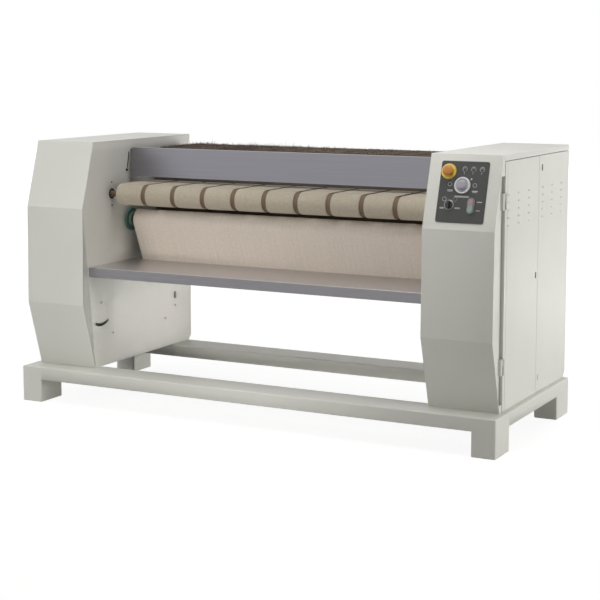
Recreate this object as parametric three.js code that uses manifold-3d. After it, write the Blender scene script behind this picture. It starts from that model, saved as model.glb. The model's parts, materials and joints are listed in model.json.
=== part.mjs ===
// Flatwork ironer: a heated drum between two sheet-metal casings on a low base.
// Linen is laid on ten feed belts, goes over the drum under a felt band, and comes back
// down a cloth apron at the front, onto a steel tray.
// Units: millimetres. X to the right, Y to the back, Z up. The floor is Z = 0.
import * as THREE from "three";
import { mergeVertices } from "three/addons/utils/BufferGeometryUtils.js";
import Module from "manifold-3d";

const wasm = await Module();
wasm.setup();

// ---------------------------------------------------------------- driving dimensions

// Clearances
const TOUCH = 0.3; // between pieces that rest on each other
const SEAM = 2; // visible seam between neighbouring panels
const RUNNING = 0.5; // radial clearance of a shaft in its bore
const SAG = 0.2; // most that a facet of a band cuts inside its true arc

// Working width
const ROLLER_LENGTH = 1400;
const ROLLER_ROOM = 48; // from a roller's end to the side plate

// Base frame
const CASING_WIDTH = 278;
const BASE_MARGIN = 24; // base beyond each casing
const BASE_DEPTH = 832;
const BASE_HEIGHT = 147;
const RAIL_HEIGHT = 52;
const RAIL_DEPTH = 142;
const LEG_WIDTH = 94;
const CHANNEL_WALL = 4;

// Casings
const REAR_OVERHANG = 20; // casings stand this far out behind the base
const CASING_TOP = 1085;
const LOWER_FOLD_Z = 419;
const UPPER_FACET_RISE = 268; // height of the upper front facet
const SETBACK_BOTTOM = 98; // front of the casing behind the front of the base
const SETBACK_LOWER_FOLD = 16;
const SETBACK_UPPER_FOLD = 22;
const SETBACK_TOP = 105;
const COVER_FLANGE = 16; // side flange of a front cover, behind its top corner
const SHEET = 3;
const PLATE = 6;
const TOP_LIP = 22;
const REAR_BEVEL = 20;
const POST_WIDTH = 24;
const PANEL_SEAM_AHEAD = 356; // seam of the outer panels, ahead of the casings' rear

// Stepped rear edge of the door's side flange
const STEP_BACK = 75; // where it steps in, behind the front of the base
const STEP_DEPTH = 12;
const STEP_BOTTOM = 176;
const STEP_TOP_DROP = 75; // its head below the casing's top

// Louvres
const LOUVRE_ROWS = 5;
const LOUVRE_TOP_DROP = 145; // top row below the casing's top
const LOUVRE_PITCH_Z = 28;
const LOUVRE_COLUMNS = 3;
const LOUVRE_PITCH_Y = 111;
const LOUVRE_FRONT_MARGIN = 10; // first column behind the front edge of its panel
const LOUVRE_REAR_MARGIN = 44; // the same on the rear panel
const LOUVRE_LENGTH = 18;
const LOUVRE_HEIGHT = 6;
const LOUVRE_DEPTH = 4;
const LOUVRE_SKIN = 1.2; // metal of the pressed hood

// Drum, felt band and apron
const JOURNAL_RADIUS = 12;
const JOURNAL_REACH = 18; // journal beyond the side plate
const DRUM_RADIUS = 167;
const DRUM_WALL = 8;
const DRUM_OVERHANG = 6; // drum longer than the rollers at each end
const DRUM_HEAD_INSET = 28;
const DRUM_HEAD = 12;
const DRUM_JOURNAL_RADIUS = 35;
const DRUM_FEED_BORE = 14; // the right-hand journal is hollow, for the heating medium
const FELT = 6;
const FELT_ROLLER_RADIUS = 20;
const FELT_RUN_GAP = 3.5; // between the felt's two runs where they pass each other
const FELT_REAR_GAP = 4.2; // felt to the folded edges of the rear cover
const FELT_TOP_DROP = 40.7; // top of the felt below the casings' tops
const NIP_GAP = 2;
const APRON = 4;
const APRON_FRONT_BACK = 360.5; // front apron roller behind the front of the base
const APRON_FRONT_DROP = 114.5; // its axis below the drum's
const APRON_FRONT_RADIUS = 40;
const APRON_LOWER_BACK = 442;
const APRON_LOWER_Z = 539;
const APRON_LOWER_RADIUS = 33;
const APRON_REAR_RADIUS = 20;
const APRON_REAR_ANGLE = -72; // degrees round the drum

// Feed belts
const BELT_COUNT = 10;
const BELT_GAP = 20;
const BELT_MARGIN = 3; // from the outermost belts to the rollers' ends
const BELT = 3;
const FEED_BACK = 232.5; // front feed roller behind the front of the base
const FEED_RISE = 3; // its axis above the drum's
const FEED_RADIUS = 41.5;
const FEED_REAR_RADIUS = 25;
const FEED_DRUM_GAP = 14;

// Finger guard
const GUARD_END_GAP = 12; // guard's end to the side plate
const GUARD_SLOT = 21; // under the guard, over the belts
const GUARD_HEIGHT = 120;
const GUARD_LEAN = 17;
const GUARD_BACK = 353.5; // its lower edge behind the front of the base
const GUARD_LIP = 14;
const GUARD_FLANGE = 22;
const GUARD_SHEET = 2;
const GUARD_PIN_RADIUS = 5;

// Tray and rear cover
const TRAY_TOP = 574;
const TRAY_BACK = 60; // front of the tray behind the front of the base
const TRAY_LIP = 40;
const TRAY_RETURN = 14;
const TRAY_SHEET = 2;
const TRAY_APRON_GAP = 6;
const REAR_COVER_BOTTOM = 500;
const REAR_COVER_DROP = 75; // its top below the casings' tops
const REAR_COVER_FLANGE = 10;

// Control panel on the door, in the plane of its upper facet
const PANEL_WIDTH = 184;
const PANEL_HEIGHT = 227;
const PANEL_THICKNESS = 2;
const PANEL_CORNER = 8;

// The panel's fittings, from its centre: x to the right, y up the facet
const ESTOP = { x: -61, y: 74, collar: 29, stem: 11, cap: 19, travel: 5 };
const DIAL = { x: -2.5, y: 24, radius: 30.5 };
const SELECTOR = { x: -45.5, y: -49, radius: 15.5 };
const DOUBLE = { x: 38.5, y: -50, width: 26, height: 58 };
const LAMPS = { x: 32.5, y: 85, pitch: 33, radius: 7 };
const COLLAR_HEIGHT = 5;
const CAP_HEIGHT = 13;
const SKIRT_HEIGHT = 5; // flat rim of the dial and of the selector
const DIAL_GRIP = 11;
const SELECTOR_BAR = 8; // width of its finger bar
const SELECTOR_GRIP = 10;
const LENS_HEIGHT = 6;
const SHAFT = 4;
const STEM_DEPTH = 6; // shafts and stems reach this far behind the plate's seat
const WINDOW_MARGIN = 3.5; // rim of the double button's bezel
const BEZEL_HEIGHT = 5;
const BUTTON_STANDS = 4; // button tops above the bezel

// Lift-off hinges between the door and its post
const DOOR_GAP = 6; // between the door's edge and the post
const HINGE_RADIUS = 4.5;
const HINGE_PIN = 2.5;
const HINGE_LEAF = 3;
const HINGE_WEB = 2; // leaf left outside the sheet where it crosses the gap
const HINGE_REACH = 18;
const HINGE_HEIGHT = 60;
const HINGE_LOWER_Z = 285;
const HINGE_UPPER_DROP = 197; // foot of the upper hinge below the casing's top
const HINGE_CAP = 1.5; // knuckle left closed over the end of the pin

// Lock holes and the plugged hole of the outer panels
const LOCK_WIDTH = 14;
const LOCK_HEIGHT = 26;
const LOCK_FRONT_AHEAD = 24; // ahead of the panels' seam
const LOCK_FRONT_Z = 608;
const LOCK_REAR_BEHIND = 34; // behind the seam
const LOCK_REAR_DROP = 70; // below the casing's top
const PLUG_BEHIND = 29;
const PLUG_Z = 203;
const PLUG_RADIUS = 12;
const PLUG_HEAD = 2;

// Adjusting holes of the side plates, with places behind the front of the base
const TENSION_PIVOT_BACK = 144;
const TENSION_PIVOT_Z = 416;
const TENSION_SLOT_RADIUS = 93;
const TENSION_SLOT_WIDTH = 13;
const TENSION_SLOT_FROM = -114; // degrees
const TENSION_SLOT_TO = -60;
const SMALL_HOLE_RADIUS = 4.5;
const SMALL_HOLES = [[228, 276], [634, 276], [718, 322], [TENSION_PIVOT_BACK, TENSION_PIVOT_Z]];
const OVAL_BACK = 719;
const OVAL_Z = 369;
const OVAL_WIDTH = 18;
const OVAL_HEIGHT = 34;

// Flange bearings of the front apron roller
const BEARING_FOOT_RADIUS = 34;
const BEARING_FOOT = 9; // its height, under the flange
const BEARING_RADIUS = 48;
const BEARING_FLANGE = 8;
const BEARING_HUB_RADIUS = 30;
const BEARING_HUB_TAPER = 4;
const BEARING_PROUD = 26;

// Drive in the left casing
const PULLEY_CLEARANCE = 16.7; // both belt pulleys to the gearbox's face
const PULLEY_WIDTH = 26;
const DRUM_PULLEY_RADIUS = 120;
const MOTOR_PULLEY_RADIUS = 40;
const VBELT_WIDTH = 12;
const VBELT = 9;
const GROOVE = 13;
const MOTOR_BACK = 500; // motor pulley's axis behind the front of the base
const MOTOR_DROP = 109; // its axis below the lower apron roller's
const GEARBOX_LENGTH = 86;
const GEARBOX_HALF = 62;
const GEARBOX_FLANGE = 10;
const GEARBOX_FLANGE_HALF = 80;
const MOTOR_RADIUS = 40;
const MOTOR_LENGTH = 190;
const SHAFT_RADIUS = 14;
const SHAFT_SOCKET = 30; // depth of the gearbox's bore
const SHAFT_END_GAP = 2; // between the shaft's end and the bottom of that bore

// Mounting board in the right casing
const BOARD_BACK = 400; // behind the front of the base
const BOARD_Z = 190;
const BOARD_DEPTH = 240;
const BOARD_HEIGHT = 270;
const BOARD_MARGIN = 15; // plate beyond its rails
const BOARD_SHEET = 3;
const BOARD_RAIL = 20;
const MODULE_COUNT = 4;
const MODULE_PITCH = 56;
const MODULE_WIDTH = 45;
const MODULE_PROUD = 67;
const MODULE_Z = 150; // above the board's lower edge
const MODULE_HEIGHT = 80;
const TERMINAL_Z = 30;
const TERMINAL_HEIGHT = 50;
const TERMINAL_PROUD = 37;

// Facets of round pieces
const DRUM_SIDES = 40;
const PULLEY_SIDES = 28;

// ---------------------------------------------------------------- places worked out

const CLEAR_GAP = ROLLER_LENGTH + 2 * ROLLER_ROOM; // between the casings
const BASE_LENGTH = CLEAR_GAP + 2 * CASING_WIDTH + 2 * BASE_MARGIN;
const FRONT = -(BASE_DEPTH + REAR_OVERHANG) / 2; // Y of the base's front face
const BASE_REAR = FRONT + BASE_DEPTH;
const REAR = BASE_REAR + REAR_OVERHANG;
const INNER = CLEAR_GAP / 2;
const OUTER = INNER + CASING_WIDTH;
const CASING_BOTTOM = BASE_HEIGHT + TOUCH;
const COVER_EDGE = FRONT + SETBACK_TOP + COVER_FLANGE; // rear edge of a front cover
const PLATE_OUTSIDE = INNER + PLATE;
const UPPER_FOLD_Z = CASING_TOP - UPPER_FACET_RISE;
const PANEL_TOP = CASING_TOP - TOP_LIP - SEAM;
const JOURNAL_END = PLATE_OUTSIDE + JOURNAL_REACH;
const ROLLER_END = ROLLER_LENGTH / 2;
const BELT_SPAN = ROLLER_LENGTH - 2 * BELT_MARGIN;
const BELT_WIDTH = (BELT_SPAN - (BELT_COUNT - 1) * BELT_GAP) / BELT_COUNT;
const GEARBOX_FACE = -(PLATE_OUTSIDE + TOUCH);
const GEARBOX_OUTSIDE = GEARBOX_FACE - GEARBOX_LENGTH;
const PULLEY_X = GEARBOX_OUTSIDE - PULLEY_CLEARANCE - PULLEY_WIDTH / 2; // middle of both pulleys
const motorAxis = { y: FRONT + MOTOR_BACK, z: APRON_LOWER_Z - MOTOR_DROP };

// ---------------------------------------------------------------- materials

const paint = { color: 0xd6d6cc, roughness: 0.45, metalness: 0.1 };
const stainless = { color: 0x9a9aa2, roughness: 0.3, metalness: 0.9 };
const steel = { color: 0x8a8a8a, roughness: 0.35, metalness: 0.9 };
const feltCloth = { color: 0x6b5a48, roughness: 1, metalness: 0 };
const apronCloth = { color: 0xb8aea2, roughness: 0.9, metalness: 0 };
const beltCloth = { color: 0xb0a692, roughness: 0.9, metalness: 0 };
const rollerCover = { color: 0x6b5a48, roughness: 0.9, metalness: 0 };
const greenPaint = { color: 0x4f6b60, roughness: 0.5, metalness: 0.2 };
const darkPlastic = { color: 0x4a4a48, roughness: 0.6, metalness: 0 };
const blackPlastic = { color: 0x1c1c1c, roughness: 0.5, metalness: 0 };
const yellowPlastic = { color: 0xd8b52a, roughness: 0.45, metalness: 0 };
const redPlastic = { color: 0xc0562a, roughness: 0.4, metalness: 0 };
const greenPlastic = { color: 0x3f8a5a, roughness: 0.4, metalness: 0 };
const whitePlastic = { color: 0xd8d8d4, roughness: 0.4, metalness: 0 };
const motorPaint = { color: 0x59656e, roughness: 0.6, metalness: 0.2 };
const rubber = { color: 0x222222, roughness: 0.9, metalness: 0 };

// ---------------------------------------------------------------- building helpers

// A named mesh with its own material.
function piece(name, geometry, look) {
  const mesh = new THREE.Mesh(geometry, new THREE.MeshStandardMaterial(look));
  mesh.name = name;
  return mesh;
}

// A nested group of meshes and groups.
function assembly(...members) {
  const group = new THREE.Group();
  group.add(...members);
  return group;
}

// A closed geometry as a solid for cutting and joining.
function solid(geometry) {
  const bare = geometry.clone();
  bare.deleteAttribute("normal");
  bare.deleteAttribute("uv");
  const merged = mergeVertices(bare, 1e-4);
  const vertProperties = merged.attributes.position.array;
  const triVerts = new Uint32Array(merged.index.array);
  return new wasm.Manifold(new wasm.Mesh({ numProp: 3, vertProperties, triVerts }));
}

// A solid back as a geometry.
function geometryOf(body) {
  const { vertProperties, triVerts } = body.getMesh();
  const geometry = new THREE.BufferGeometry();
  geometry.setAttribute("position", new THREE.BufferAttribute(vertProperties, 3));
  geometry.setIndex(new THREE.BufferAttribute(triVerts, 1));
  return geometry;
}

const joined = (...geometries) => geometries.map(solid).reduce((a, b) => a.add(b));

const cutBy = (body, ...geometries) => geometries.map(solid).reduce((a, b) => a.subtract(b), body);

// A box between two corners.
function block([x0, y0, z0], [x1, y1, z1]) {
  const box = new THREE.BoxGeometry(x1 - x0, y1 - y0, z1 - z0);
  return box.translate((x0 + x1) / 2, (y0 + y1) / 2, (z0 + z1) / 2);
}

const outlineShape = (points) => new THREE.Shape(points.map(([a, b]) => new THREE.Vector2(a, b)));

function extruded(shape, depth, curveSegments = 12) {
  return new THREE.ExtrudeGeometry(shape, { depth, bevelEnabled: false, steps: 1, curveSegments });
}

// An outline of (Y, Z) points carried along X.
function alongX(shape, x0, x1, curveSegments) {
  const turn = new THREE.Matrix4().makeBasis(
    new THREE.Vector3(0, 1, 0),
    new THREE.Vector3(0, 0, 1),
    new THREE.Vector3(1, 0, 0),
  );
  return extruded(shape, x1 - x0, curveSegments).applyMatrix4(turn).translate(x0, 0, 0);
}

// An outline of (X, Z) points carried along Y.
function alongY(shape, y0, y1) {
  const turn = new THREE.Matrix4().makeBasis(
    new THREE.Vector3(1, 0, 0),
    new THREE.Vector3(0, 0, 1),
    new THREE.Vector3(0, -1, 0),
  );
  return extruded(shape, y1 - y0).applyMatrix4(turn).translate(0, y1, 0);
}

// A turned piece about the X axis: (x, radius) points from axis to axis, or a closed ring.
function turned(profile, sides = 20) {
  const points = profile.map(([x, radius]) => new THREE.Vector2(radius, x));
  return new THREE.LatheGeometry(points, sides).rotateZ(-Math.PI / 2);
}

// A turned piece about the Z axis, with (z, radius) points.
function turnedUpright(profile, sides = 20) {
  const points = profile.map(([z, radius]) => new THREE.Vector2(radius, z));
  return new THREE.LatheGeometry(points, sides).rotateX(Math.PI / 2);
}

const rod = (x0, x1, radius, sides) => turned([[x0, 0], [x0, radius], [x1, radius], [x1, 0]], sides);

const post = (z0, z1, radius, sides) =>
  turnedUpright([[z0, 0], [z0, radius], [z1, radius], [z1, 0]], sides);

const collar = (z0, z1, bore, radius, sides) =>
  turnedUpright([[z0, bore], [z0, radius], [z1, radius], [z1, bore], [z0, bore]], sides);

// The same solid on the other side of the machine.
function mirrored(body) {
  return body.mirror([1, 0, 0]);
}

// A convex outline moved inwards, edge by edge. Edge i runs from point i to the next one.
function insetOutline(points, distances) {
  const edges = points.map(([ay, az], i) => {
    const [by, bz] = points[(i + 1) % points.length];
    const length = Math.hypot(by - ay, bz - az);
    const inward = [-(bz - az) / length, (by - ay) / length];
    const level = ay * inward[0] + az * inward[1] + distances[i];
    return { inward, level };
  });
  return points.map((_, i) => {
    const { inward: [a, b], level: e } = edges[(i + points.length - 1) % points.length];
    const { inward: [c, d], level: f } = edges[i];
    const det = a * d - b * c;
    return [(e * d - b * f) / det, (a * f - e * c) / det];
  });
}

// ---------------------------------------------------------------- endless bands

// The straight run from one wheel to the next. A wheel inside the loop counts as a positive
// radius and is passed anticlockwise; one outside the loop counts as negative.
function tangentNormal(from, to) {
  const dy = to.y - from.y;
  const dz = to.z - from.z;
  const distance = Math.hypot(dy, dz);
  const across = (from.radius - to.radius) / distance;
  const along = Math.sqrt(1 - across * across);
  return [(across * dy + along * dz) / distance, (across * dz - along * dy) / distance];
}

// The closed outline of a band laid round its wheels, at a distance from their surfaces.
function bandOutline(wheels, offset) {
  const discs = wheels.map(({ y, z, radius }) => ({ y, z, radius: radius + offset }));
  const normals = discs.map((disc, i) => tangentNormal(disc, discs[(i + 1) % discs.length]));
  return discs.flatMap(({ y, z, radius }, i) => {
    const [inY, inZ] = normals[(i + discs.length - 1) % discs.length];
    const [outY, outZ] = normals[i];
    const start = Math.atan2(inZ, inY);
    const turn = Math.atan2(outZ, outY) - start;
    const arc = THREE.MathUtils.euclideanModulo(radius > 0 ? turn : -turn, 2 * Math.PI);
    const sweep = Math.sign(radius) * arc;
    const steps = Math.ceil(arc / (2 * Math.acos(1 - SAG / Math.abs(radius))));
    return Array.from({ length: steps + 1 }, (_, k) => {
      const angle = start + (sweep * k) / steps;
      return [y + radius * Math.cos(angle), z + radius * Math.sin(angle)];
    });
  });
}

// The band itself, between its inner and outer outlines.
function bandLoop(wheels, thickness, x0, x1) {
  const shape = outlineShape(bandOutline(wheels, TOUCH + thickness));
  shape.holes.push(outlineShape(bandOutline(wheels, TOUCH)));
  return alongX(shape, x0, x1);
}

// ---------------------------------------------------------------- wheels of the bands

// The drum's place follows from the room that the felt's outer run takes at its top and rear.
const feltOutside = DRUM_RADIUS + 2 * FELT + FELT_RUN_GAP + TOUCH;
const drum = {
  y: REAR - REAR_COVER_FLANGE - FELT_REAR_GAP - feltOutside,
  z: CASING_TOP - FELT_TOP_DROP - feltOutside,
  radius: DRUM_RADIUS,
};

// A wheel at an angle round the drum, with the band pinched between the two.
function wheelOnDrum(angle, radius, thickness, gap) {
  const reach = DRUM_RADIUS + 2 * TOUCH + thickness + gap + radius;
  const turn = THREE.MathUtils.degToRad(angle);
  return { y: drum.y + reach * Math.cos(turn), z: drum.z + reach * Math.sin(turn), radius };
}

// The felt's return run passes its inner run at the drum's top and rear by FELT_RUN_GAP.
const feltReach = DRUM_RADIUS + FELT + FELT_RUN_GAP - FELT_ROLLER_RADIUS;
const feltNip = DRUM_RADIUS + 2 * TOUCH + FELT + NIP_GAP + FELT_ROLLER_RADIUS;
const feltFront = {
  y: drum.y - Math.sqrt(feltNip * feltNip - feltReach * feltReach),
  z: drum.z + feltReach,
  radius: FELT_ROLLER_RADIUS,
};
const feltUpper = { y: drum.y + feltReach, z: drum.z + feltReach, radius: FELT_ROLLER_RADIUS };
const feltLower = { y: drum.y + feltReach, z: drum.z - feltReach, radius: FELT_ROLLER_RADIUS };

const apronFront = {
  y: FRONT + APRON_FRONT_BACK,
  z: drum.z - APRON_FRONT_DROP,
  radius: APRON_FRONT_RADIUS,
};
const apronLower = { y: FRONT + APRON_LOWER_BACK, z: APRON_LOWER_Z, radius: APRON_LOWER_RADIUS };
const apronRear = wheelOnDrum(APRON_REAR_ANGLE, APRON_REAR_RADIUS, APRON, NIP_GAP);

const feedFront = { y: FRONT + FEED_BACK, z: drum.z + FEED_RISE, radius: FEED_RADIUS };
const feedRearZ = feedFront.z + FEED_RADIUS - FEED_REAR_RADIUS;
const feedRearReach = DRUM_RADIUS + FEED_DRUM_GAP + BELT + FEED_REAR_RADIUS;
const feedRear = {
  y: drum.y - Math.sqrt(feedRearReach ** 2 - (feedRearZ - drum.z) ** 2),
  z: feedRearZ,
  radius: FEED_REAR_RADIUS,
};

// The drum lies outside both bands' loops, so they meet it with their outer faces.
const drumOutside = (thickness) => ({ ...drum, radius: -(DRUM_RADIUS + 2 * TOUCH + thickness) });

const feltWheels = [feltUpper, feltFront, drumOutside(FELT), feltLower];
const apronWheels = [apronFront, apronLower, apronRear, drumOutside(APRON)];

// ---------------------------------------------------------------- base

// An upside-down channel of folded sheet, open underneath, with closed ends.
function channel([x0, y0], [x1, y1]) {
  const bottom = BASE_HEIGHT - RAIL_HEIGHT;
  const hollow = block(
    [x0 + CHANNEL_WALL, y0 + CHANNEL_WALL, bottom - 1],
    [x1 - CHANNEL_WALL, y1 - CHANNEL_WALL, BASE_HEIGHT - CHANNEL_WALL],
  );
  return geometryOf(cutBy(solid(block([x0, y0, bottom], [x1, y1, BASE_HEIGHT])), hollow));
}

// A leg is a box tube with a foot plate, open at the top under its rail.
function leg(name, side, y0) {
  const height = BASE_HEIGHT - RAIL_HEIGHT;
  const x0 = side > 0 ? BASE_LENGTH / 2 - LEG_WIDTH : -BASE_LENGTH / 2;
  const outside = block([x0, y0, 0], [x0 + LEG_WIDTH, y0 + RAIL_DEPTH, height]);
  const hollow = block(
    [x0 + CHANNEL_WALL, y0 + CHANNEL_WALL, 2 * CHANNEL_WALL],
    [x0 + LEG_WIDTH - CHANNEL_WALL, y0 + RAIL_DEPTH - CHANNEL_WALL, height + 1],
  );
  return piece(name, geometryOf(cutBy(solid(outside), hollow)), paint);
}

function base() {
  const end = BASE_LENGTH / 2;
  const crossFront = FRONT + RAIL_DEPTH;
  const crossRear = BASE_REAR - RAIL_DEPTH;
  return assembly(
    piece("base_front_rail", channel([-end, FRONT], [end, crossFront]), paint),
    piece("base_rear_rail", channel([-end, crossRear], [end, BASE_REAR]), paint),
    piece("base_left_rail", channel([-end, crossFront], [LEG_WIDTH - end, crossRear]), paint),
    piece("base_right_rail", channel([end - LEG_WIDTH, crossFront], [end, crossRear]), paint),
    leg("leg_front_left", -1, FRONT),
    leg("leg_front_right", 1, FRONT),
    leg("leg_rear_left", -1, crossRear),
    leg("leg_rear_right", 1, crossRear),
  );
}

// ---------------------------------------------------------------- casings

// Side outline of a casing: bottom, rear bevel, rear, top, then the three front facets.
const casingOutline = [
  [FRONT + SETBACK_BOTTOM, CASING_BOTTOM],
  [BASE_REAR, CASING_BOTTOM],
  [REAR, CASING_BOTTOM + REAR_BEVEL],
  [REAR, CASING_TOP],
  [FRONT + SETBACK_TOP, CASING_TOP],
  [FRONT + SETBACK_UPPER_FOLD, UPPER_FOLD_Z],
  [FRONT + SETBACK_LOWER_FOLD, LOWER_FOLD_Z],
];

const insideOutline = (depth) => insetOutline(casingOutline, [0, depth, depth, depth, depth, depth, depth]);

// A round hole whose flats lie on the stated radius, so that the shaft clears them.
function circleHole(shape, y, z, radius, sides = 14) {
  const corner = radius / Math.cos(Math.PI / sides);
  const points = Array.from({ length: sides }, (_, i) => {
    const angle = (2 * Math.PI * (i + 0.5)) / sides;
    return new THREE.Vector2(y + corner * Math.cos(angle), z + corner * Math.sin(angle));
  });
  shape.holes.push(new THREE.Path(points));
}

// An upright slot with round ends.
function ovalHole(shape, y, z, width, height) {
  const radius = width / 2;
  const half = height / 2 - radius;
  const path = new THREE.Path();
  path.absarc(y, z + half, radius, 0, Math.PI, false);
  path.absarc(y, z - half, radius, Math.PI, 2 * Math.PI, false);
  path.closePath();
  shape.holes.push(path);
}

// An arc-shaped slot for the tension bolt, which swings about (y, z).
function arcSlot(shape, y, z) {
  const radius = TENSION_SLOT_RADIUS;
  const width = TENSION_SLOT_WIDTH;
  const from = THREE.MathUtils.degToRad(TENSION_SLOT_FROM);
  const to = THREE.MathUtils.degToRad(TENSION_SLOT_TO);
  const end = (angle) => [y + radius * Math.cos(angle), z + radius * Math.sin(angle)];
  const path = new THREE.Path();
  path.absarc(y, z, radius + width / 2, from, to, false);
  path.absarc(...end(to), width / 2, to, to + Math.PI, false);
  path.absarc(y, z, radius - width / 2, to, from, true);
  path.absarc(...end(from), width / 2, from + Math.PI, from + 2 * Math.PI, false);
  path.closePath();
  shape.holes.push(path);
}

const bandRollers = [feltFront, feltUpper, feltLower, apronFront, apronLower, apronRear, feedFront, feedRear];

const guardBottom = feedFront.z + FEED_RADIUS + BELT + GUARD_SLOT;
const guardTop = guardBottom + GUARD_HEIGHT;
const guardPivot = {
  y: FRONT + GUARD_BACK + GUARD_LEAN + GUARD_FLANGE / 2,
  z: guardTop - GUARD_FLANGE / 2,
};

// The structural plate that carries every shaft, seen between the casings.
function sidePlate() {
  const shape = outlineShape(insideOutline(SHEET + TOUCH));
  circleHole(shape, drum.y, drum.z, DRUM_JOURNAL_RADIUS + RUNNING, 24);
  bandRollers.forEach(({ y, z }) => circleHole(shape, y, z, JOURNAL_RADIUS + RUNNING));
  circleHole(shape, guardPivot.y, guardPivot.z, GUARD_PIN_RADIUS + RUNNING, 12);
  SMALL_HOLES.forEach(([back, z]) => circleHole(shape, FRONT + back, z, SMALL_HOLE_RADIUS, 10));
  ovalHole(shape, FRONT + OVAL_BACK, OVAL_Z, OVAL_WIDTH, OVAL_HEIGHT);
  arcSlot(shape, FRONT + TENSION_PIVOT_BACK, TENSION_PIVOT_Z);
  return solid(alongX(shape, INNER, PLATE_OUTSIDE, 6));
}

const coverOutline = [
  [COVER_EDGE, CASING_BOTTOM],
  [COVER_EDGE, CASING_TOP],
  ...casingOutline.slice(4),
  casingOutline[0],
];
const coverHollow = insetOutline(coverOutline, [-SHEET, SHEET, SHEET, SHEET, SHEET, -SHEET]);

// Front cover: three facets, a side flange and a shallow return at the top, open underneath.
function frontCover() {
  return cutBy(
    solid(alongX(outlineShape(coverOutline), INNER, OUTER)),
    alongX(outlineShape(coverHollow), INNER - SHEET, OUTER - SHEET),
  );
}

// The door's side flange steps inwards along its rear edge, to give the fingers a grip.
function steppedFlange(door) {
  const front = FRONT + STEP_BACK;
  const top = CASING_TOP - STEP_TOP_DROP;
  const inside = OUTER - STEP_DEPTH;
  const walls = block(
    [inside - SHEET, front - SHEET, STEP_BOTTOM - SHEET],
    [OUTER, COVER_EDGE, top + SHEET],
  );
  const room = block([inside, front, STEP_BOTTOM], [OUTER + 1, COVER_EDGE + 1, top]);
  const within = solid(alongX(outlineShape(coverOutline), INNER, OUTER));
  const behindFacets = solid(alongX(outlineShape(coverHollow), INNER, OUTER + 1));
  return door.add(solid(walls).intersect(within)).subtract(solid(room).intersect(behindFacets));
}

// Top cover: a flat sheet whose outer and rear edges fold down.
function topCover() {
  const y0 = COVER_EDGE + SEAM;
  const outside = block([INNER, y0, CASING_TOP - TOP_LIP], [OUTER, REAR, CASING_TOP]);
  const under = block(
    [INNER - SHEET, y0 - SHEET, CASING_TOP - TOP_LIP - SHEET],
    [OUTER - SHEET, REAR - SHEET, CASING_TOP - SHEET],
  );
  return cutBy(solid(outside), under);
}

// Rear panel with its bevelled lower edge.
function rearPanel() {
  const bevelled = insetOutline(casingOutline, [0, SHEET, SHEET, SHEET, 0, 0, 0]);
  const shape = outlineShape([
    casingOutline[1],
    casingOutline[2],
    [REAR, PANEL_TOP],
    [REAR - SHEET, PANEL_TOP],
    bevelled[2],
    bevelled[1],
  ]);
  return solid(alongX(shape, INNER, OUTER));
}

// A pressed louvre: a slot through the sheet under a sloping hood.
function louvre(panel, y, z) {
  const slot = block(
    [OUTER - SHEET - 1, y - LOUVRE_LENGTH / 2, z - LOUVRE_HEIGHT / 2],
    [OUTER + 1, y + LOUVRE_LENGTH / 2, z + LOUVRE_HEIGHT / 2],
  );
  const root = OUTER - SHEET / 2;
  const hood = alongY(
    outlineShape([
      [root, z + LOUVRE_HEIGHT / 2],
      [OUTER + LOUVRE_DEPTH - LOUVRE_SKIN, z - LOUVRE_HEIGHT / 2],
      [OUTER + LOUVRE_DEPTH, z - LOUVRE_HEIGHT / 2],
      [root, z + LOUVRE_HEIGHT / 2 + 2 * LOUVRE_SKIN],
    ]),
    y - LOUVRE_LENGTH / 2 - 1,
    y + LOUVRE_LENGTH / 2 + 1,
  );
  return panel.subtract(solid(slot)).add(solid(hood));
}

function louvreField(panel, firstColumn) {
  let louvred = panel;
  for (let column = 0; column < LOUVRE_COLUMNS; column += 1) {
    for (let row = 0; row < LOUVRE_ROWS; row += 1) {
      const y = firstColumn + column * LOUVRE_PITCH_Y;
      louvred = louvre(louvred, y, CASING_TOP - LOUVRE_TOP_DROP - row * LOUVRE_PITCH_Z);
    }
  }
  return louvred;
}

// Outer panel between two Y places, with its lock hole.
function outerPanel(y0, y1, lockY, lockZ) {
  const bevelled = insetOutline(casingOutline, [0, SHEET + TOUCH, SHEET + TOUCH, 0, 0, 0, 0]);
  const atRear = y1 > BASE_REAR;
  const lower = atRear ? [bevelled[1], bevelled[2]] : [[y1, CASING_BOTTOM]];
  const shape = outlineShape([[y0, CASING_BOTTOM], ...lower, [y1, PANEL_TOP], [y0, PANEL_TOP]]);
  ovalHole(shape, lockY, lockZ, LOCK_WIDTH, LOCK_HEIGHT);
  return solid(alongX(shape, OUTER - SHEET, OUTER, 5));
}

const POST_FRONT = COVER_EDGE + DOOR_GAP;
const PANEL_FRONT = POST_FRONT + POST_WIDTH;
const PANEL_REAR = REAR - SHEET - TOUCH;
const PANEL_SEAM = REAR - PANEL_SEAM_AHEAD;
const LOCK_REAR_Y = PANEL_SEAM + LOCK_REAR_BEHIND;
const LOCK_REAR_Z = CASING_TOP - LOCK_REAR_DROP;
const HINGE_UPPER_Z = CASING_TOP - HINGE_UPPER_DROP;

function leftCasing() {
  const side = outerPanel(POST_FRONT, PANEL_REAR, LOCK_REAR_Y, LOCK_REAR_Z);
  return assembly(
    piece("left_side_plate", geometryOf(mirrored(sidePlate())), paint),
    piece("left_front_cover", geometryOf(mirrored(frontCover())), paint),
    piece("left_top_cover", geometryOf(mirrored(topCover())), paint),
    piece("left_outer_panel", geometryOf(mirrored(side)), paint),
    piece("left_rear_panel", geometryOf(mirrored(rearPanel())), paint),
  );
}

// ---------------------------------------------------------------- door hinges

const hingeAxis = { x: OUTER + HINGE_RADIUS + TOUCH, y: (COVER_EDGE + POST_FRONT) / 2 };

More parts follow.
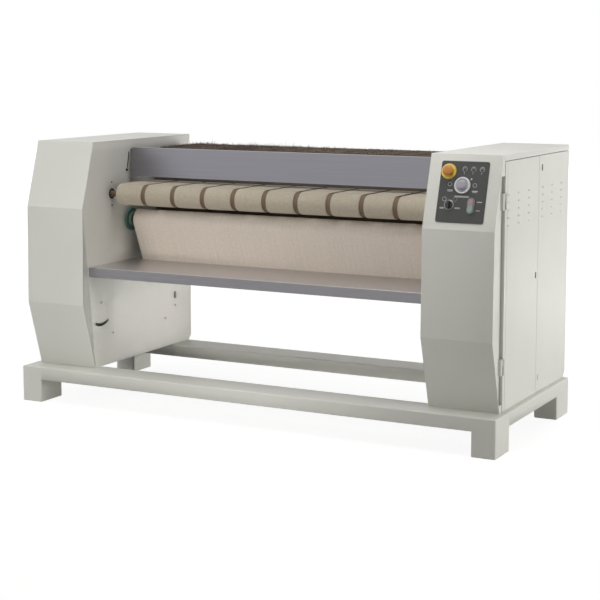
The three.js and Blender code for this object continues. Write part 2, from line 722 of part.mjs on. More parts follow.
// Lower half of a lift-off hinge, with the pin, on the post.
function hingeHalfFixed(z) {
  const middle = z + HINGE_HEIGHT / 2;
  return joined(
    post(z, middle, HINGE_RADIUS, 16).translate(hingeAxis.x, hingeAxis.y, 0),
    post(z + 1, z + HINGE_HEIGHT - HINGE_CAP - RUNNING, HINGE_PIN, 12).translate(hingeAxis.x, hingeAxis.y, 0),
    block([OUTER - SHEET / 2, POST_FRONT, z], [OUTER + HINGE_LEAF, POST_FRONT + HINGE_REACH, middle]),
    block([OUTER + HINGE_LEAF - HINGE_WEB, hingeAxis.y, z], [OUTER + HINGE_LEAF, POST_FRONT + 1, middle]),
  );
}

// Upper half with the bore, on the door. Its leaf stands up from the bottom of the stepped flange.
function hingeHalfMoving(z) {
  const z0 = z + HINGE_HEIGHT / 2 + TOUCH;
  const z1 = z + HINGE_HEIGHT;
  const leafRoot = OUTER - STEP_DEPTH - SHEET / 2;
  const leafFace = OUTER + HINGE_LEAF;
  const leafRear = COVER_EDGE - HINGE_RADIUS;
  return cutBy(
    joined(
      post(z0, z1, HINGE_RADIUS, 16).translate(hingeAxis.x, hingeAxis.y, 0),
      block([leafRoot, leafRear - HINGE_REACH, z], [leafFace, leafRear, z1]),
      block([leafFace - HINGE_WEB, leafRear - 1, z0], [leafFace, hingeAxis.y, z1]),
    ),
    post(z0 - 1, z1 - HINGE_CAP, HINGE_PIN + RUNNING, 12).translate(hingeAxis.x, hingeAxis.y, 0),
  );
}

// An angle of sheet behind the door's hinge edge, from the base to the top cover's lip.
function hingePost() {
  const shape = outlineShape([
    [OUTER, POST_FRONT],
    [OUTER, POST_FRONT + POST_WIDTH - SEAM],
    [OUTER - SHEET, POST_FRONT + POST_WIDTH - SEAM],
    [OUTER - SHEET, POST_FRONT + SHEET],
    [OUTER - 2 * POST_WIDTH, POST_FRONT + SHEET],
    [OUTER - 2 * POST_WIDTH, POST_FRONT],
  ]);
  return extruded(shape, PANEL_TOP - CASING_BOTTOM).translate(0, 0, CASING_BOTTOM);
}

// ---------------------------------------------------------------- control panel

const facetRise = CASING_TOP - UPPER_FOLD_Z;
const facetRun = SETBACK_TOP - SETBACK_UPPER_FOLD;
const facetTilt = Math.atan2(facetRise, facetRun);

// Puts pieces drawn on the XY plane onto the middle of the door's upper facet.
function onFacet(object) {
  object.position.set(
    INNER + CASING_WIDTH / 2,
    FRONT + (SETBACK_TOP + SETBACK_UPPER_FOLD) / 2,
    (CASING_TOP + UPPER_FOLD_Z) / 2,
  );
  object.rotation.x = facetTilt;
  return object;
}

function facetSolid(geometry) {
  const placed = onFacet(new THREE.Group());
  placed.updateMatrix();
  return solid(geometry.clone().applyMatrix4(placed.matrix));
}

// A rectangle with round corners about (x, y).
function roundRectangle(x, y, width, height, radius) {
  const a = width / 2 - radius;
  const b = height / 2 - radius;
  const shape = new THREE.Shape();
  shape.absarc(x + a, y + b, radius, 0, Math.PI / 2, false);
  shape.absarc(x - a, y + b, radius, Math.PI / 2, Math.PI, false);
  shape.absarc(x - a, y - b, radius, Math.PI, 1.5 * Math.PI, false);
  shape.absarc(x + a, y - b, radius, 1.5 * Math.PI, 2 * Math.PI, false);
  shape.closePath();
  return shape;
}

// The four openings that the panel and the door share.
function controlOpenings(from, to) {
  const depth = to - from;
  const window = roundRectangle(
    DOUBLE.x, DOUBLE.y, DOUBLE.width - 2 * WINDOW_MARGIN, DOUBLE.height - 2 * WINDOW_MARGIN,
    DOUBLE.width / 2 - WINDOW_MARGIN,
  );
  return [
    post(from, to, ESTOP.stem + RUNNING).translate(ESTOP.x, ESTOP.y, 0),
    post(from, to, SHAFT + RUNNING, 10).translate(DIAL.x, DIAL.y, 0),
    post(from, to, SHAFT + RUNNING, 10).translate(SELECTOR.x, SELECTOR.y, 0),
    extruded(window, depth, 4).translate(0, 0, from),
  ];
}

// Dark plate with its double-button bezel and the rims of the three lamps.
function controlPlate() {
  const plate = extruded(roundRectangle(0, 0, PANEL_WIDTH, PANEL_HEIGHT, PANEL_CORNER), PANEL_THICKNESS, 4);
  const bezel = extruded(
    roundRectangle(DOUBLE.x, DOUBLE.y, DOUBLE.width, DOUBLE.height, DOUBLE.width / 2), BEZEL_HEIGHT, 4,
  );
  return geometryOf(
    cutBy(joined(plate, bezel), ...controlOpenings(-1, BEZEL_HEIGHT + 1)).translate([0, 0, TOUCH]),
  );
}

// Half of the double push button: the upper half stops, the lower half starts.
function halfButton(direction) {
  const width = DOUBLE.width - 2 * WINDOW_MARGIN - 2 * RUNNING;
  const height = DOUBLE.height - 2 * WINDOW_MARGIN - 2 * RUNNING;
  const top = BEZEL_HEIGHT + BUTTON_STANDS;
  const whole = extruded(roundRectangle(0, 0, width, height, width / 2), top + STEM_DEPTH, 4);
  const half = block(
    [-width, direction > 0 ? TOUCH : -height, -1],
    [width, direction > 0 ? height : -TOUCH, top + STEM_DEPTH + 1],
  );
  const button = solid(whole).intersect(solid(half));
  return geometryOf(button.translate([DOUBLE.x, DOUBLE.y, -STEM_DEPTH]));
}

function controls() {
  const on = PANEL_THICKNESS + 2 * TOUCH; // seat of what stands on the plate
  const collarTop = on + COLLAR_HEIGHT;
  const capBottom = collarTop + ESTOP.travel + 2; // still clear of the collar when pushed in
  const group = assembly(
    piece("control_panel", controlPlate(), darkPlastic),
    piece(
      "estop_collar",
      collar(on, collarTop, ESTOP.stem + RUNNING, ESTOP.collar, 28).translate(ESTOP.x, ESTOP.y, 0),
      yellowPlastic,
    ),
    piece(
      "estop_button",
      turnedUpright([
        [-STEM_DEPTH, 0],
        [-STEM_DEPTH, ESTOP.stem],
        [capBottom, ESTOP.stem],
        [capBottom, ESTOP.cap - 1],
        [capBottom + CAP_HEIGHT * 0.15, ESTOP.cap],
        [capBottom + CAP_HEIGHT * 0.6, ESTOP.cap - 1],
        [capBottom + CAP_HEIGHT * 0.9, ESTOP.cap * 0.55],
        [capBottom + CAP_HEIGHT, 0],
      ]).translate(ESTOP.x, ESTOP.y, 0),
      redPlastic,
    ),
    piece(
      "thermostat_dial",
      turnedUpright([
        [-STEM_DEPTH, 0],
        [-STEM_DEPTH, SHAFT],
        [on, SHAFT],
        [on, DIAL.radius],
        [on + SKIRT_HEIGHT, DIAL.radius],
        [on + SKIRT_HEIGHT + 2, DIAL.radius - 4],
        [on + SKIRT_HEIGHT + 2, DIAL.radius * 0.6],
        [on + SKIRT_HEIGHT + 1 + DIAL_GRIP, DIAL.radius * 0.52],
        [on + SKIRT_HEIGHT + 2 + DIAL_GRIP, 0],
      ], 24).translate(DIAL.x, DIAL.y, 0),
      whitePlastic,
    ),
    piece("selector_knob", selectorKnob(on), blackPlastic),
    piece("stop_button", halfButton(1), redPlastic),
    piece("start_button", halfButton(-1), greenPlastic),
    ...[-1, 0, 1].map((place, i) => {
      const lens = pilotLens(on).translate(LAMPS.x + place * LAMPS.pitch, LAMPS.y, 0);
      return piece(`pilot_lamp_${i + 1}`, lens, whitePlastic);
    }),
  );
  return onFacet(group);
}

// A pilot lamp's domed lens.
function pilotLens(on) {
  return turnedUpright([
    [on, 0],
    [on, LAMPS.radius],
    [on + LENS_HEIGHT / 3, LAMPS.radius],
    [on + LENS_HEIGHT - 1, LAMPS.radius * 0.6],
    [on + LENS_HEIGHT, 0],
  ], 16);
}

// A selector with a raised finger bar across its disc.
function selectorKnob(on) {
  const discTop = on + SKIRT_HEIGHT;
  const disc = turnedUpright([
    [-STEM_DEPTH, 0],
    [-STEM_DEPTH, SHAFT],
    [on, SHAFT],
    [on, SELECTOR.radius],
    [discTop - 2, SELECTOR.radius],
    [discTop, SELECTOR.radius - 3],
    [discTop, 0],
  ], 28);
  const half = SELECTOR_BAR / 2;
  const reach = SELECTOR.radius - 2;
  const bar = block([-half, -reach, discTop - 1], [half, reach, discTop + SELECTOR_GRIP]);
  return geometryOf(joined(disc, bar).translate([SELECTOR.x, SELECTOR.y, 0]));
}

function rightCasing() {
  let door = frontCover();
  controlOpenings(-STEM_DEPTH, 1).forEach((opening) => {
    door = door.subtract(facetSolid(opening));
  });
  door = steppedFlange(door).add(hingeHalfMoving(HINGE_LOWER_Z)).add(hingeHalfMoving(HINGE_UPPER_Z));
  const hinges = hingeHalfFixed(HINGE_LOWER_Z).add(hingeHalfFixed(HINGE_UPPER_Z));
  const panelFront = louvreField(
    outerPanel(PANEL_FRONT, PANEL_SEAM - SEAM, PANEL_SEAM - LOCK_FRONT_AHEAD, LOCK_FRONT_Z),
    PANEL_FRONT + LOUVRE_FRONT_MARGIN,
  );
  const plug = rod(OUTER - SHEET / 2, OUTER + PLUG_HEAD, PLUG_RADIUS)
    .translate(0, PANEL_SEAM + PLUG_BEHIND, PLUG_Z);
  const panelRear = louvreField(
    outerPanel(PANEL_SEAM, PANEL_REAR, LOCK_REAR_Y, LOCK_REAR_Z), PANEL_SEAM + LOUVRE_REAR_MARGIN,
  ).add(solid(plug));
  return assembly(
    piece("right_side_plate", geometryOf(sidePlate()), paint),
    piece("right_front_door", geometryOf(door), paint),
    piece("right_hinge_post", geometryOf(solid(hingePost()).add(hinges)), paint),
    piece("right_top_cover", geometryOf(topCover()), paint),
    piece("right_outer_panel_front", geometryOf(panelFront), paint),
    piece("right_outer_panel_rear", geometryOf(panelRear), paint),
    piece("right_rear_panel", geometryOf(rearPanel()), paint),
    controls(),
  );
}

// ---------------------------------------------------------------- rollers, belts and bands

// A roller with its journals, about its own axis.
function roller(name, { y, z, radius }, journalEnd = JOURNAL_END) {
  const shape = turned([
    [-journalEnd, 0],
    [-journalEnd, JOURNAL_RADIUS],
    [-ROLLER_END, JOURNAL_RADIUS],
    [-ROLLER_END, radius],
    [ROLLER_END, radius],
    [ROLLER_END, JOURNAL_RADIUS],
    [journalEnd, JOURNAL_RADIUS],
    [journalEnd, 0],
  ]);
  const mesh = piece(name, shape, rollerCover);
  mesh.position.set(0, y, z);
  return mesh;
}

// The heated drum: a rolled shell with recessed heads, a journal at each end and its drive pulley.
function heatingDrum() {
  const end = ROLLER_END + DRUM_OVERHANG;
  const head = end - DRUM_HEAD_INSET;
  const bore = DRUM_RADIUS - DRUM_WALL;
  const shell = solid(turned([
    [PULLEY_X - PULLEY_WIDTH, 0],
    [PULLEY_X - PULLEY_WIDTH, DRUM_JOURNAL_RADIUS],
    [-head, DRUM_JOURNAL_RADIUS],
    [-head, bore],
    [-end, bore],
    [-end, DRUM_RADIUS],
    [end, DRUM_RADIUS],
    [end, bore],
    [head, bore],
    [head, DRUM_JOURNAL_RADIUS],
    [JOURNAL_END, DRUM_JOURNAL_RADIUS],
    [JOURNAL_END, 0],
  ], DRUM_SIDES));
  const drumAlone = cutBy(
    shell,
    rod(DRUM_HEAD - head, head - DRUM_HEAD, bore, DRUM_SIDES),
    rod(0, JOURNAL_END + 1, DRUM_FEED_BORE, 16),
  );
  return geometryOf(drumAlone.add(solid(pulley(DRUM_PULLEY_RADIUS, DRUM_JOURNAL_RADIUS - 1))));
}

// A grooved pulley on its shaft, about its own axis.
function pulley(radius, bore) {
  const half = PULLEY_WIDTH / 2;
  const groove = VBELT_WIDTH / 2 + 1;
  return turned([
    [PULLEY_X - half, bore],
    [PULLEY_X - half, radius],
    [PULLEY_X - groove, radius],
    [PULLEY_X - groove, radius - GROOVE],
    [PULLEY_X + groove, radius - GROOVE],
    [PULLEY_X + groove, radius],
    [PULLEY_X + half, radius],
    [PULLEY_X + half, bore],
    [PULLEY_X - half, bore],
  ], PULLEY_SIDES);
}

// Gearbox bolted to the side plate, with its motor to the rear.
function gearmotor() {
  const { y, z } = motorAxis;
  const middle = (GEARBOX_FACE + GEARBOX_OUTSIDE) / 2;
  const motor = post(0, MOTOR_LENGTH, MOTOR_RADIUS, 24).rotateX(-Math.PI / 2)
    .translate(middle, y + GEARBOX_HALF - 1, z);
  const flange = block(
    [GEARBOX_FACE - GEARBOX_FLANGE, y - GEARBOX_FLANGE_HALF, z - GEARBOX_FLANGE_HALF],
    [GEARBOX_FACE, y + GEARBOX_FLANGE_HALF, z + GEARBOX_FLANGE_HALF],
  );
  const box = block(
    [GEARBOX_OUTSIDE, y - GEARBOX_HALF, z - GEARBOX_HALF],
    [GEARBOX_FACE - GEARBOX_FLANGE / 2, y + GEARBOX_HALF, z + GEARBOX_HALF],
  );
  const bore = rod(GEARBOX_OUTSIDE - 1, GEARBOX_OUTSIDE + SHAFT_SOCKET, SHAFT_RADIUS + RUNNING)
    .translate(0, y, z);
  return geometryOf(cutBy(joined(flange, box, motor), bore));
}

// The motor's pulley with the shaft that turns in the gearbox.
function motorPulley() {
  const outerEnd = PULLEY_X - PULLEY_WIDTH / 2 - 2;
  const shaft = rod(outerEnd, GEARBOX_OUTSIDE + SHAFT_SOCKET - SHAFT_END_GAP, SHAFT_RADIUS, 16);
  return geometryOf(joined(pulley(MOTOR_PULLEY_RADIUS, SHAFT_RADIUS - 1), shaft));
}

function drive() {
  const motorWheel = piece("motor_pulley", motorPulley(), steel);
  motorWheel.position.set(0, motorAxis.y, motorAxis.z);
  const wheels = [
    { y: drum.y, z: drum.z, radius: DRUM_PULLEY_RADIUS - GROOVE },
    { ...motorAxis, radius: MOTOR_PULLEY_RADIUS - GROOVE },
  ];
  const belt = bandLoop(wheels, VBELT, PULLEY_X - VBELT_WIDTH / 2, PULLEY_X + VBELT_WIDTH / 2);
  return assembly(motorWheel, piece("gearmotor", gearmotor(), motorPaint), piece("drive_belt", belt, rubber));
}

// Green flange bearing of the front apron roller, on the inner face of a side plate.
function apronBearing(name, side) {
  const face = INNER - TOUCH;
  const flange = face - BEARING_FOOT - BEARING_FLANGE;
  const bore = JOURNAL_RADIUS + RUNNING;
  const shape = turned([
    [face - BEARING_PROUD, bore],
    [face - BEARING_PROUD, BEARING_HUB_RADIUS - BEARING_HUB_TAPER],
    [flange, BEARING_HUB_RADIUS],
    [flange, BEARING_RADIUS],
    [face - BEARING_FOOT, BEARING_RADIUS],
    [face - BEARING_FOOT, BEARING_FOOT_RADIUS],
    [face, BEARING_FOOT_RADIUS],
    [face, bore],
    [face - BEARING_PROUD, bore],
  ]);
  const housing = side > 0 ? solid(shape) : mirrored(solid(shape));
  const mesh = piece(name, geometryOf(housing), greenPaint);
  mesh.position.set(0, apronFront.y, apronFront.z);
  return mesh;
}

function feedBelts() {
  const pitch = BELT_WIDTH + BELT_GAP;
  const first = -((BELT_COUNT - 1) * pitch) / 2;
  return Array.from({ length: BELT_COUNT }, (_, i) => {
    const x = first + i * pitch;
    const loop = bandLoop([feedFront, feedRear], BELT, x - BELT_WIDTH / 2, x + BELT_WIDTH / 2);
    return piece(`feed_belt_${String(i + 1).padStart(2, "0")}`, loop, beltCloth);
  });
}

function rollers() {
  const drumMesh = piece("heating_drum", heatingDrum(), steel);
  drumMesh.position.set(0, drum.y, drum.z);
  return assembly(
    drumMesh,
    roller("feed_roller_front", feedFront),
    roller("feed_roller_rear", feedRear),
    roller("felt_roller_front", feltFront),
    roller("felt_roller_upper", feltUpper),
    roller("felt_roller_lower", feltLower),
    roller("apron_roller_front", apronFront),
    roller("apron_roller_lower", apronLower),
    roller("apron_roller_rear", apronRear),
    apronBearing("apron_bearing_left", -1),
    apronBearing("apron_bearing_right", 1),
    piece("ironing_felt", bandLoop(feltWheels, FELT, -ROLLER_END, ROLLER_END), feltCloth),
    piece("delivery_apron", bandLoop(apronWheels, APRON, -ROLLER_END, ROLLER_END), apronCloth),
    ...feedBelts(),
  );
}

// ---------------------------------------------------------------- tray, guard and rear cover

// The apron's front face at a height, from its straight run below the front roller.
function apronFaceY(z) {
  const offset = TOUCH + APRON;
  const upper = { ...apronFront, radius: APRON_FRONT_RADIUS + offset };
  const lower = { ...apronLower, radius: APRON_LOWER_RADIUS + offset };
  const [ny, nz] = tangentNormal(upper, lower);
  return (upper.y * ny + upper.z * nz + upper.radius - z * nz) / ny;
}

// Receiving tray: a flat sheet with a deep front lip and folded ends.
function tray() {
  const front = FRONT + TRAY_BACK;
  const rear = apronFaceY(TRAY_TOP) - TRAY_APRON_GAP;
  const end = INNER - TOUCH;
  const bottom = TRAY_TOP - TRAY_LIP;
  const outside = block([-end, front, bottom], [end, rear, TRAY_TOP]);
  const under = block(
    [-end + TRAY_SHEET, front + TRAY_SHEET, bottom + TRAY_SHEET],
    [end - TRAY_SHEET, rear + 1, TRAY_TOP - TRAY_SHEET],
  );
  const opening = block(
    [-end + TRAY_RETURN, front + TRAY_RETURN, bottom - 1],
    [end - TRAY_RETURN, rear + 1, bottom + TRAY_SHEET + 1],
  );
  return geometryOf(cutBy(solid(outside), under, opening));
}

// Finger guard: a leaning sheet with a lower lip, a top flange, ends and pivot pins.
function fingerGuard() {
  const bottomY = FRONT + GUARD_BACK;
  const topY = bottomY + GUARD_LEAN;
  const end = INNER - GUARD_END_GAP;
  const s = GUARD_SHEET;
  const section = [
    [bottomY, guardBottom],
    [bottomY + GUARD_LIP, guardBottom],
    [bottomY + GUARD_LIP, guardBottom + s],
    [bottomY + s, guardBottom + s],
    [topY + s, guardTop - s],
    [topY + GUARD_FLANGE, guardTop - s],
    [topY + GUARD_FLANGE, guardTop],
    [topY, guardTop],
  ];
  const cheek = [section[0], section[1], section[6], section[7]];
  const cheeks = [alongX(outlineShape(cheek), -end, s - end), alongX(outlineShape(cheek), end - s, end)];
  const pins = [
    rod(-INNER - PLATE, s / 2 - end, GUARD_PIN_RADIUS, 16).translate(0, guardPivot.y, guardPivot.z),
    rod(end - s / 2, INNER + PLATE, GUARD_PIN_RADIUS, 16).translate(0, guardPivot.y, guardPivot.z),
  ];
  return geometryOf(joined(alongX(outlineShape(section), -end, end), ...cheeks, ...pins));
}

// Rear cover: a sheet between the casings with its top and bottom edges folded forwards.
function rearCover() {
  const end = INNER - TOUCH;
  const top = CASING_TOP - REAR_COVER_DROP;
  const outside = block([-end, REAR - REAR_COVER_FLANGE, REAR_COVER_BOTTOM], [end, REAR, top]);
  const inside = block(
    [-end - 1, REAR - REAR_COVER_FLANGE - 1, REAR_COVER_BOTTOM + SHEET],
    [end + 1, REAR - SHEET, top - SHEET],
  );
  return geometryOf(cutBy(solid(outside), inside));
}

// Mounting board of the electrics: a plate on two rails, with its contactors and terminals.
function electricalBoard() {
  const y = FRONT + BOARD_BACK;
  const x = PLATE_OUTSIDE + TOUCH;
  const top = BOARD_Z + BOARD_HEIGHT;
  const plateX = x + BOARD_RAIL;
  const face = plateX + BOARD_SHEET;
  const rails = [y, y + BOARD_DEPTH - BOARD_RAIL].map((railY) =>
    block([x, railY, BOARD_Z], [plateX + 1, railY + BOARD_RAIL, top]),
  );
  const plate = block([plateX, y - BOARD_MARGIN, BOARD_Z], [face, y + BOARD_DEPTH + BOARD_MARGIN, top]);
  const modules = Array.from({ length: MODULE_COUNT }, (_, i) => {
    const moduleY = y + i * MODULE_PITCH + (MODULE_PITCH - MODULE_WIDTH) / 2;
    const z = BOARD_Z + MODULE_Z;
    return block([face - 1, moduleY, z], [face + MODULE_PROUD, moduleY + MODULE_WIDTH, z + MODULE_HEIGHT]);
  });
  const terminals = block(
    [face - 1, y, BOARD_Z + TERMINAL_Z],
    [face + TERMINAL_PROUD, y + BOARD_DEPTH, BOARD_Z + TERMINAL_Z + TERMINAL_HEIGHT],
  );
  return geometryOf(joined(...rails, plate, ...modules, terminals));
}

// ---------------------------------------------------------------- the whole machine

const ironer = assembly(
  base(),
  leftCasing(),
  rightCasing(),
  rollers(),
  drive(),
  piece("receiving_tray", tray(), stainless),
  piece("finger_guard", fingerGuard(), stainless),
  piece("rear_cover", rearCover(), paint),
  piece("electrical_board", electricalBoard(), steel),
);

export default ironer;
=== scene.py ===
# %% [markdown]
# # Dressing a flatwork ironer
#
# A flatwork ironer presses sheets and table linen between a hot drum and a felt band. The
# construction is already there as a frame of rigid pieces. This lesson gives that frame its
# looks: powder-coated sheet metal, brushed stainless steel, woven belts and a frayed felt.
# Lengths are metres, X runs to the right, Y to the back and Z up, with the floor at zero.

# %% The frame and the helpers that every later cell uses
import json
import math

import bmesh
import bpy
import numpy as np
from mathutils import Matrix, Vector


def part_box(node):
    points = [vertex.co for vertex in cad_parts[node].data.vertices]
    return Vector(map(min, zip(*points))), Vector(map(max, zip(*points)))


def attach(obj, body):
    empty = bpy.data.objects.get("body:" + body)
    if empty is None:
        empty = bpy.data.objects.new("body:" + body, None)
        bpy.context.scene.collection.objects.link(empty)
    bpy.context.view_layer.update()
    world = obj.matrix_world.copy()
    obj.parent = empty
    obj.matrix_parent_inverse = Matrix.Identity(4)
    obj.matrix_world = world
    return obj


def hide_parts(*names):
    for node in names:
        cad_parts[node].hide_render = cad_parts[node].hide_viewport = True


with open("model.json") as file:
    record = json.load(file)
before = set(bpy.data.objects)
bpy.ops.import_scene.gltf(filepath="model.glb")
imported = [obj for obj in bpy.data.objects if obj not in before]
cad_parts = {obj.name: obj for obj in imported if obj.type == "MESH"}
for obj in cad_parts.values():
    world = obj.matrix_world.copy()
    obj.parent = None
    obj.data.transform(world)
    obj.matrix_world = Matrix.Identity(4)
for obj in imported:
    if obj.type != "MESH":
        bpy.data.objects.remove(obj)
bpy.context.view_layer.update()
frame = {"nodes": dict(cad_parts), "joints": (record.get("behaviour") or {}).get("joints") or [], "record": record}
MM = 0.001
random = np.random.default_rng(20)
joints = {joint["name"]: joint for joint in frame["joints"]}


def put_in_scene(name, data):
    """A new object with this data, linked to the scene."""
    made = bpy.data.objects.new(name, data)
    bpy.context.scene.collection.objects.link(made)
    return made


# %% [markdown]
# ## Camera
#
# The photograph was taken from in front of the machine and to its right, a little above the
# top covers, with a long lens. The optical axis meets the picture above its middle, which a
# view camera does with a shifted lens, so the shift is part of the camera here as well.

# %% Camera
CAMERA_PLACE = (2.9271, -5.5135, 1.4441)
CAMERA_YAW = 27.65
CAMERA_PITCH = -6.89
LENS = 92.49
SHIFT_Y = -0.10

camera_data = bpy.data.cameras.new("camera")
camera_data.lens = LENS
camera_data.sensor_width = 36
camera_data.shift_y = SHIFT_Y
camera_data.clip_end = 60
camera = put_in_scene("camera", camera_data)
camera.location = CAMERA_PLACE
camera.rotation_euler = (math.radians(90 + CAMERA_PITCH), 0, math.radians(CAMERA_YAW))
bpy.context.scene.camera = camera
bpy.context.scene.view_settings.view_transform = "Standard"
print("camera at", CAMERA_PLACE)

# %% [markdown]
# ## Nodes in few words
#
# A procedural material is a small graph. One function adds any node, sets its values, links
# its inputs and says what it feeds, so a recipe below reads from top to bottom like a list.
# Colours are written as a painter would pick them, in sRGB hex, and turned to linear light
# once. Most finishes are two near tones of one colour, mixed by a pattern. The scale of a
# noise is the number of its clouds in a metre.

# %% Colour and node helpers
def linear(code):
    """sRGB hex to linear light: c / 12.92 below 0.04045, else ((c + 0.055) / 1.055) ^ 2.4."""
    channels = np.array([int(code[i:i + 2], 16) for i in (1, 3, 5)]) / 255
    light = np.where(channels <= 0.04045, channels / 12.92, ((channels + 0.055) / 1.055) ** 2.4)
    return (*light.tolist(), 1.0)


def add(tree, kind, settings=None, values=None, links=None, output=0, feeds=None):
    """A node: its properties, its inputs' values, what its inputs come from, and what it feeds.

    Gives its first output, or the one that is named."""
    made = tree.nodes.new("ShaderNode" + kind)
    for name, value in (settings or {}).items():
        setattr(made, name, value)
    for name, value in (values or {}).items():
        made.inputs[name].default_value = value
    for name, source in (links or {}).items():
        tree.links.new(source, made.inputs[name])
    if feeds is not None:
        tree.links.new(made.outputs[output], feeds)
    return made.outputs[output]


def material(name, **surface):
    """A new material with one surface shader, and the tree to add its pattern to."""
    made = bpy.data.materials.new(name)
    made.use_nodes = True
    shader = made.node_tree.nodes["Principled BSDF"]
    for key, value in surface.items():
        shader.inputs[key.replace("_", " ")].default_value = value
    return made, made.node_tree, shader


def pattern_place(tree, scale=(1, 1, 1), source="Object"):
    """Object coordinates, or the piece's own UV in metres, with each direction scaled."""
    place = add(tree, "TexCoord", output=source)
    return add(tree, "Mapping", values={"Scale": scale}, links={"Vector": place})


def two_tones(tree, pattern, low, high, darker, paler):
    """The darker colour where the pattern is below low, the paler above high, and a mix between."""
    share = add(tree, "MapRange", values={"From Min": low, "From Max": high},
                links={"Value": pattern})
    tones = {"A": linear(darker), "B": linear(paler)}
    return add(tree, "Mix", {"data_type": "RGBA"}, tones, {"Factor": share}, "Result")


print("node helpers ready")

# %% [markdown]
# ## Painted sheet
#
# The casings are steel sheet, folded and powder coated in a warm off-white. Powder melts
# into a skin with a fine orange peel, so a highlight on it is broad and slightly broken.
# The real peel is about 0.4 mm across. That is too fine for the picture, so it is drawn at
# 2 mm and kept very shallow. A slow drift of tone stands for the film's varying thickness.

# %% Painted finishes
PEEL_WIDTH = 2 * MM


def painted(name, code, darker, roughness, peel=0.06 * MM):
    """Baked paint: two tones by a slow noise, gloss by a quicker one, and an orange peel bump."""
    made, tree, shader = material(name, Metallic=0.0, IOR=1.5)
    place = pattern_place(tree)
    drift = add(tree, "TexNoise", values={"Scale": 3.0, "Detail": 3.0}, links={"Vector": place})
    tree.links.new(two_tones(tree, drift, 0.3, 0.7, darker, code), shader.inputs["Base Color"])
    clouds = add(tree, "TexNoise", values={"Scale": 9.0}, links={"Vector": place})
    add(tree, "MapRange", values={"To Min": roughness - 0.05, "To Max": roughness + 0.05},
        links={"Value": clouds}, feeds=shader.inputs["Roughness"])
    skin = add(tree, "TexNoise", values={"Scale": 1 / PEEL_WIDTH, "Detail": 1.0},
               links={"Vector": place})
    add(tree, "Bump", values={"Distance": peel}, links={"Height": skin},
        feeds=shader.inputs["Normal"])
    return made


# Powder coat has a wide, soft shine. Enamel on a casting is glossier and shows the sand's grain.
powder_white = painted("powder_coated_sheet", "#dddcd4", "#d8d7cf", 0.42)
green_enamel = painted("green_enamel_casting", "#5a7a6d", "#4c6a5f", 0.38, 0.3 * MM)
motor_enamel = painted("grey_enamel_casting", "#5d6a73", "#535f68", 0.48, 0.3 * MM)
print("painted finishes made")

# %% [markdown]
# ## Metals
#
# Stainless sheet is brushed along its length. Each scratch is a fine line, so the noise is
# stretched several hundred times along X. Real scratches are a few hundredths of a
# millimetre apart, and here about one millimetre, so that they show. Turned steel and zinc
# plate have a faint cloudy mottle instead of lines.

# %% Metal finishes
BRUSH_PITCH = 1.1 * MM
BRUSH_LENGTH = 600 * MM
# Height over which the painted reflection on a sheet's top fades in.
REFLECTION_FADE = 3 * MM


def brushed(name, code, darker, roughness, painted_reflection=None):
    """Brushed sheet: noise stretched along X gives its two tones, its gloss and its bump.

    The last argument, (height, hex), gives a paler, warmer tone above a height: a painted reflection of the cream
    cloth above the sheet."""
    made, tree, shader = material(name, Metallic=1.0)
    place = pattern_place(tree, (1 / BRUSH_LENGTH, 1 / BRUSH_PITCH, 1 / BRUSH_PITCH))
    lines = add(tree, "TexNoise", values={"Scale": 1.0, "Detail": 3.0, "Roughness": 0.6},
                links={"Vector": place})
    colour = two_tones(tree, lines, 0.3, 0.7, darker, code)
    # Painted reflection: a paler, warmer tone towards the top of the sheet.
    if painted_reflection:
        height, pale = painted_reflection
        level = add(tree, "SeparateXYZ", links={"Vector": pattern_place(tree)}, output="Z")
        reflection_share = add(tree, "MapRange", links={"Value": level},
                     values={"From Min": height - REFLECTION_FADE, "From Max": height})
        colour = add(tree, "Mix", {"data_type": "RGBA"}, {"B": linear(pale)},
                     {"Factor": reflection_share, "A": colour}, "Result")
    tree.links.new(colour, shader.inputs["Base Color"])
    add(tree, "MapRange", values={"To Min": roughness - 0.06, "To Max": roughness + 0.08},
        links={"Value": lines}, feeds=shader.inputs["Roughness"])
    add(tree, "Bump", values={"Distance": 0.03 * MM}, links={"Height": lines},
        feeds=shader.inputs["Normal"])
    return made


def plated(name, code, darker, roughness, cloud=20 * MM):
    """Turned or plated steel: a soft mottle of tone and gloss, without lines."""
    made, tree, shader = material(name, Metallic=1.0)
    mottle = add(tree, "TexNoise", values={"Scale": 1 / cloud, "Detail": 4.0, "Roughness": 0.65},
                 links={"Vector": pattern_place(tree)})
    tree.links.new(two_tones(tree, mottle, 0.35, 0.65, darker, code), shader.inputs["Base Color"])
    add(tree, "MapRange", values={"To Min": roughness - 0.05, "To Max": roughness + 0.07},
        links={"Value": mottle}, feeds=shader.inputs["Roughness"])
    return made


# Brushed sheet smears what it mirrors into streaks. The tray is duller.
guard_steel = brushed("brushed_stainless_guard", "#908f95", "#86858b", 0.36)
# The tray's base is a paler copy of the guard's steel, and its top is paler and warmer still. Both are painted
# reflection of the cream cloth above it.
TRAY_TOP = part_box("receiving_tray")[1].z
tray_steel = brushed("brushed_stainless_tray", "#a9a7ab", "#9e9ca1", 0.42, (TRAY_TOP, "#c9c5c4"))
# The hot drum is browned by scorched starch. Zinc is a cloudy grey, and the bolts are blackened.
turned_steel = plated("scorched_drum_steel", "#7c7369", "#6f675e", 0.4, 80 * MM)
zinc_plate = plated("zinc_plated_sheet", "#a2a39c", "#8f918c", 0.42)
dark_bolt = plated("blackened_bolt", "#2c2c2c", "#222222", 0.45)
print("metal finishes made")

# %% [markdown]
# ## Cloth
#
# The belts and the apron are heavy cotton, woven plain: each warp thread goes over one weft
# thread and under the next. Two sine waves at right angles, multiplied, give that chequer of
# little hills. The thread spacing is about 1 mm on the real cloth and 2.2 mm here, because
# anything finer would vanish in the picture. Belts are ironed flat and grow darker with
# scorch; the felt is a mat of brown fibres with no order at all.

# %% Woven cotton
THREAD = 2.2 * MM
WAVES_PER_UNIT = 3.18  # a wave texture at scale 1 repeats this often in one unit


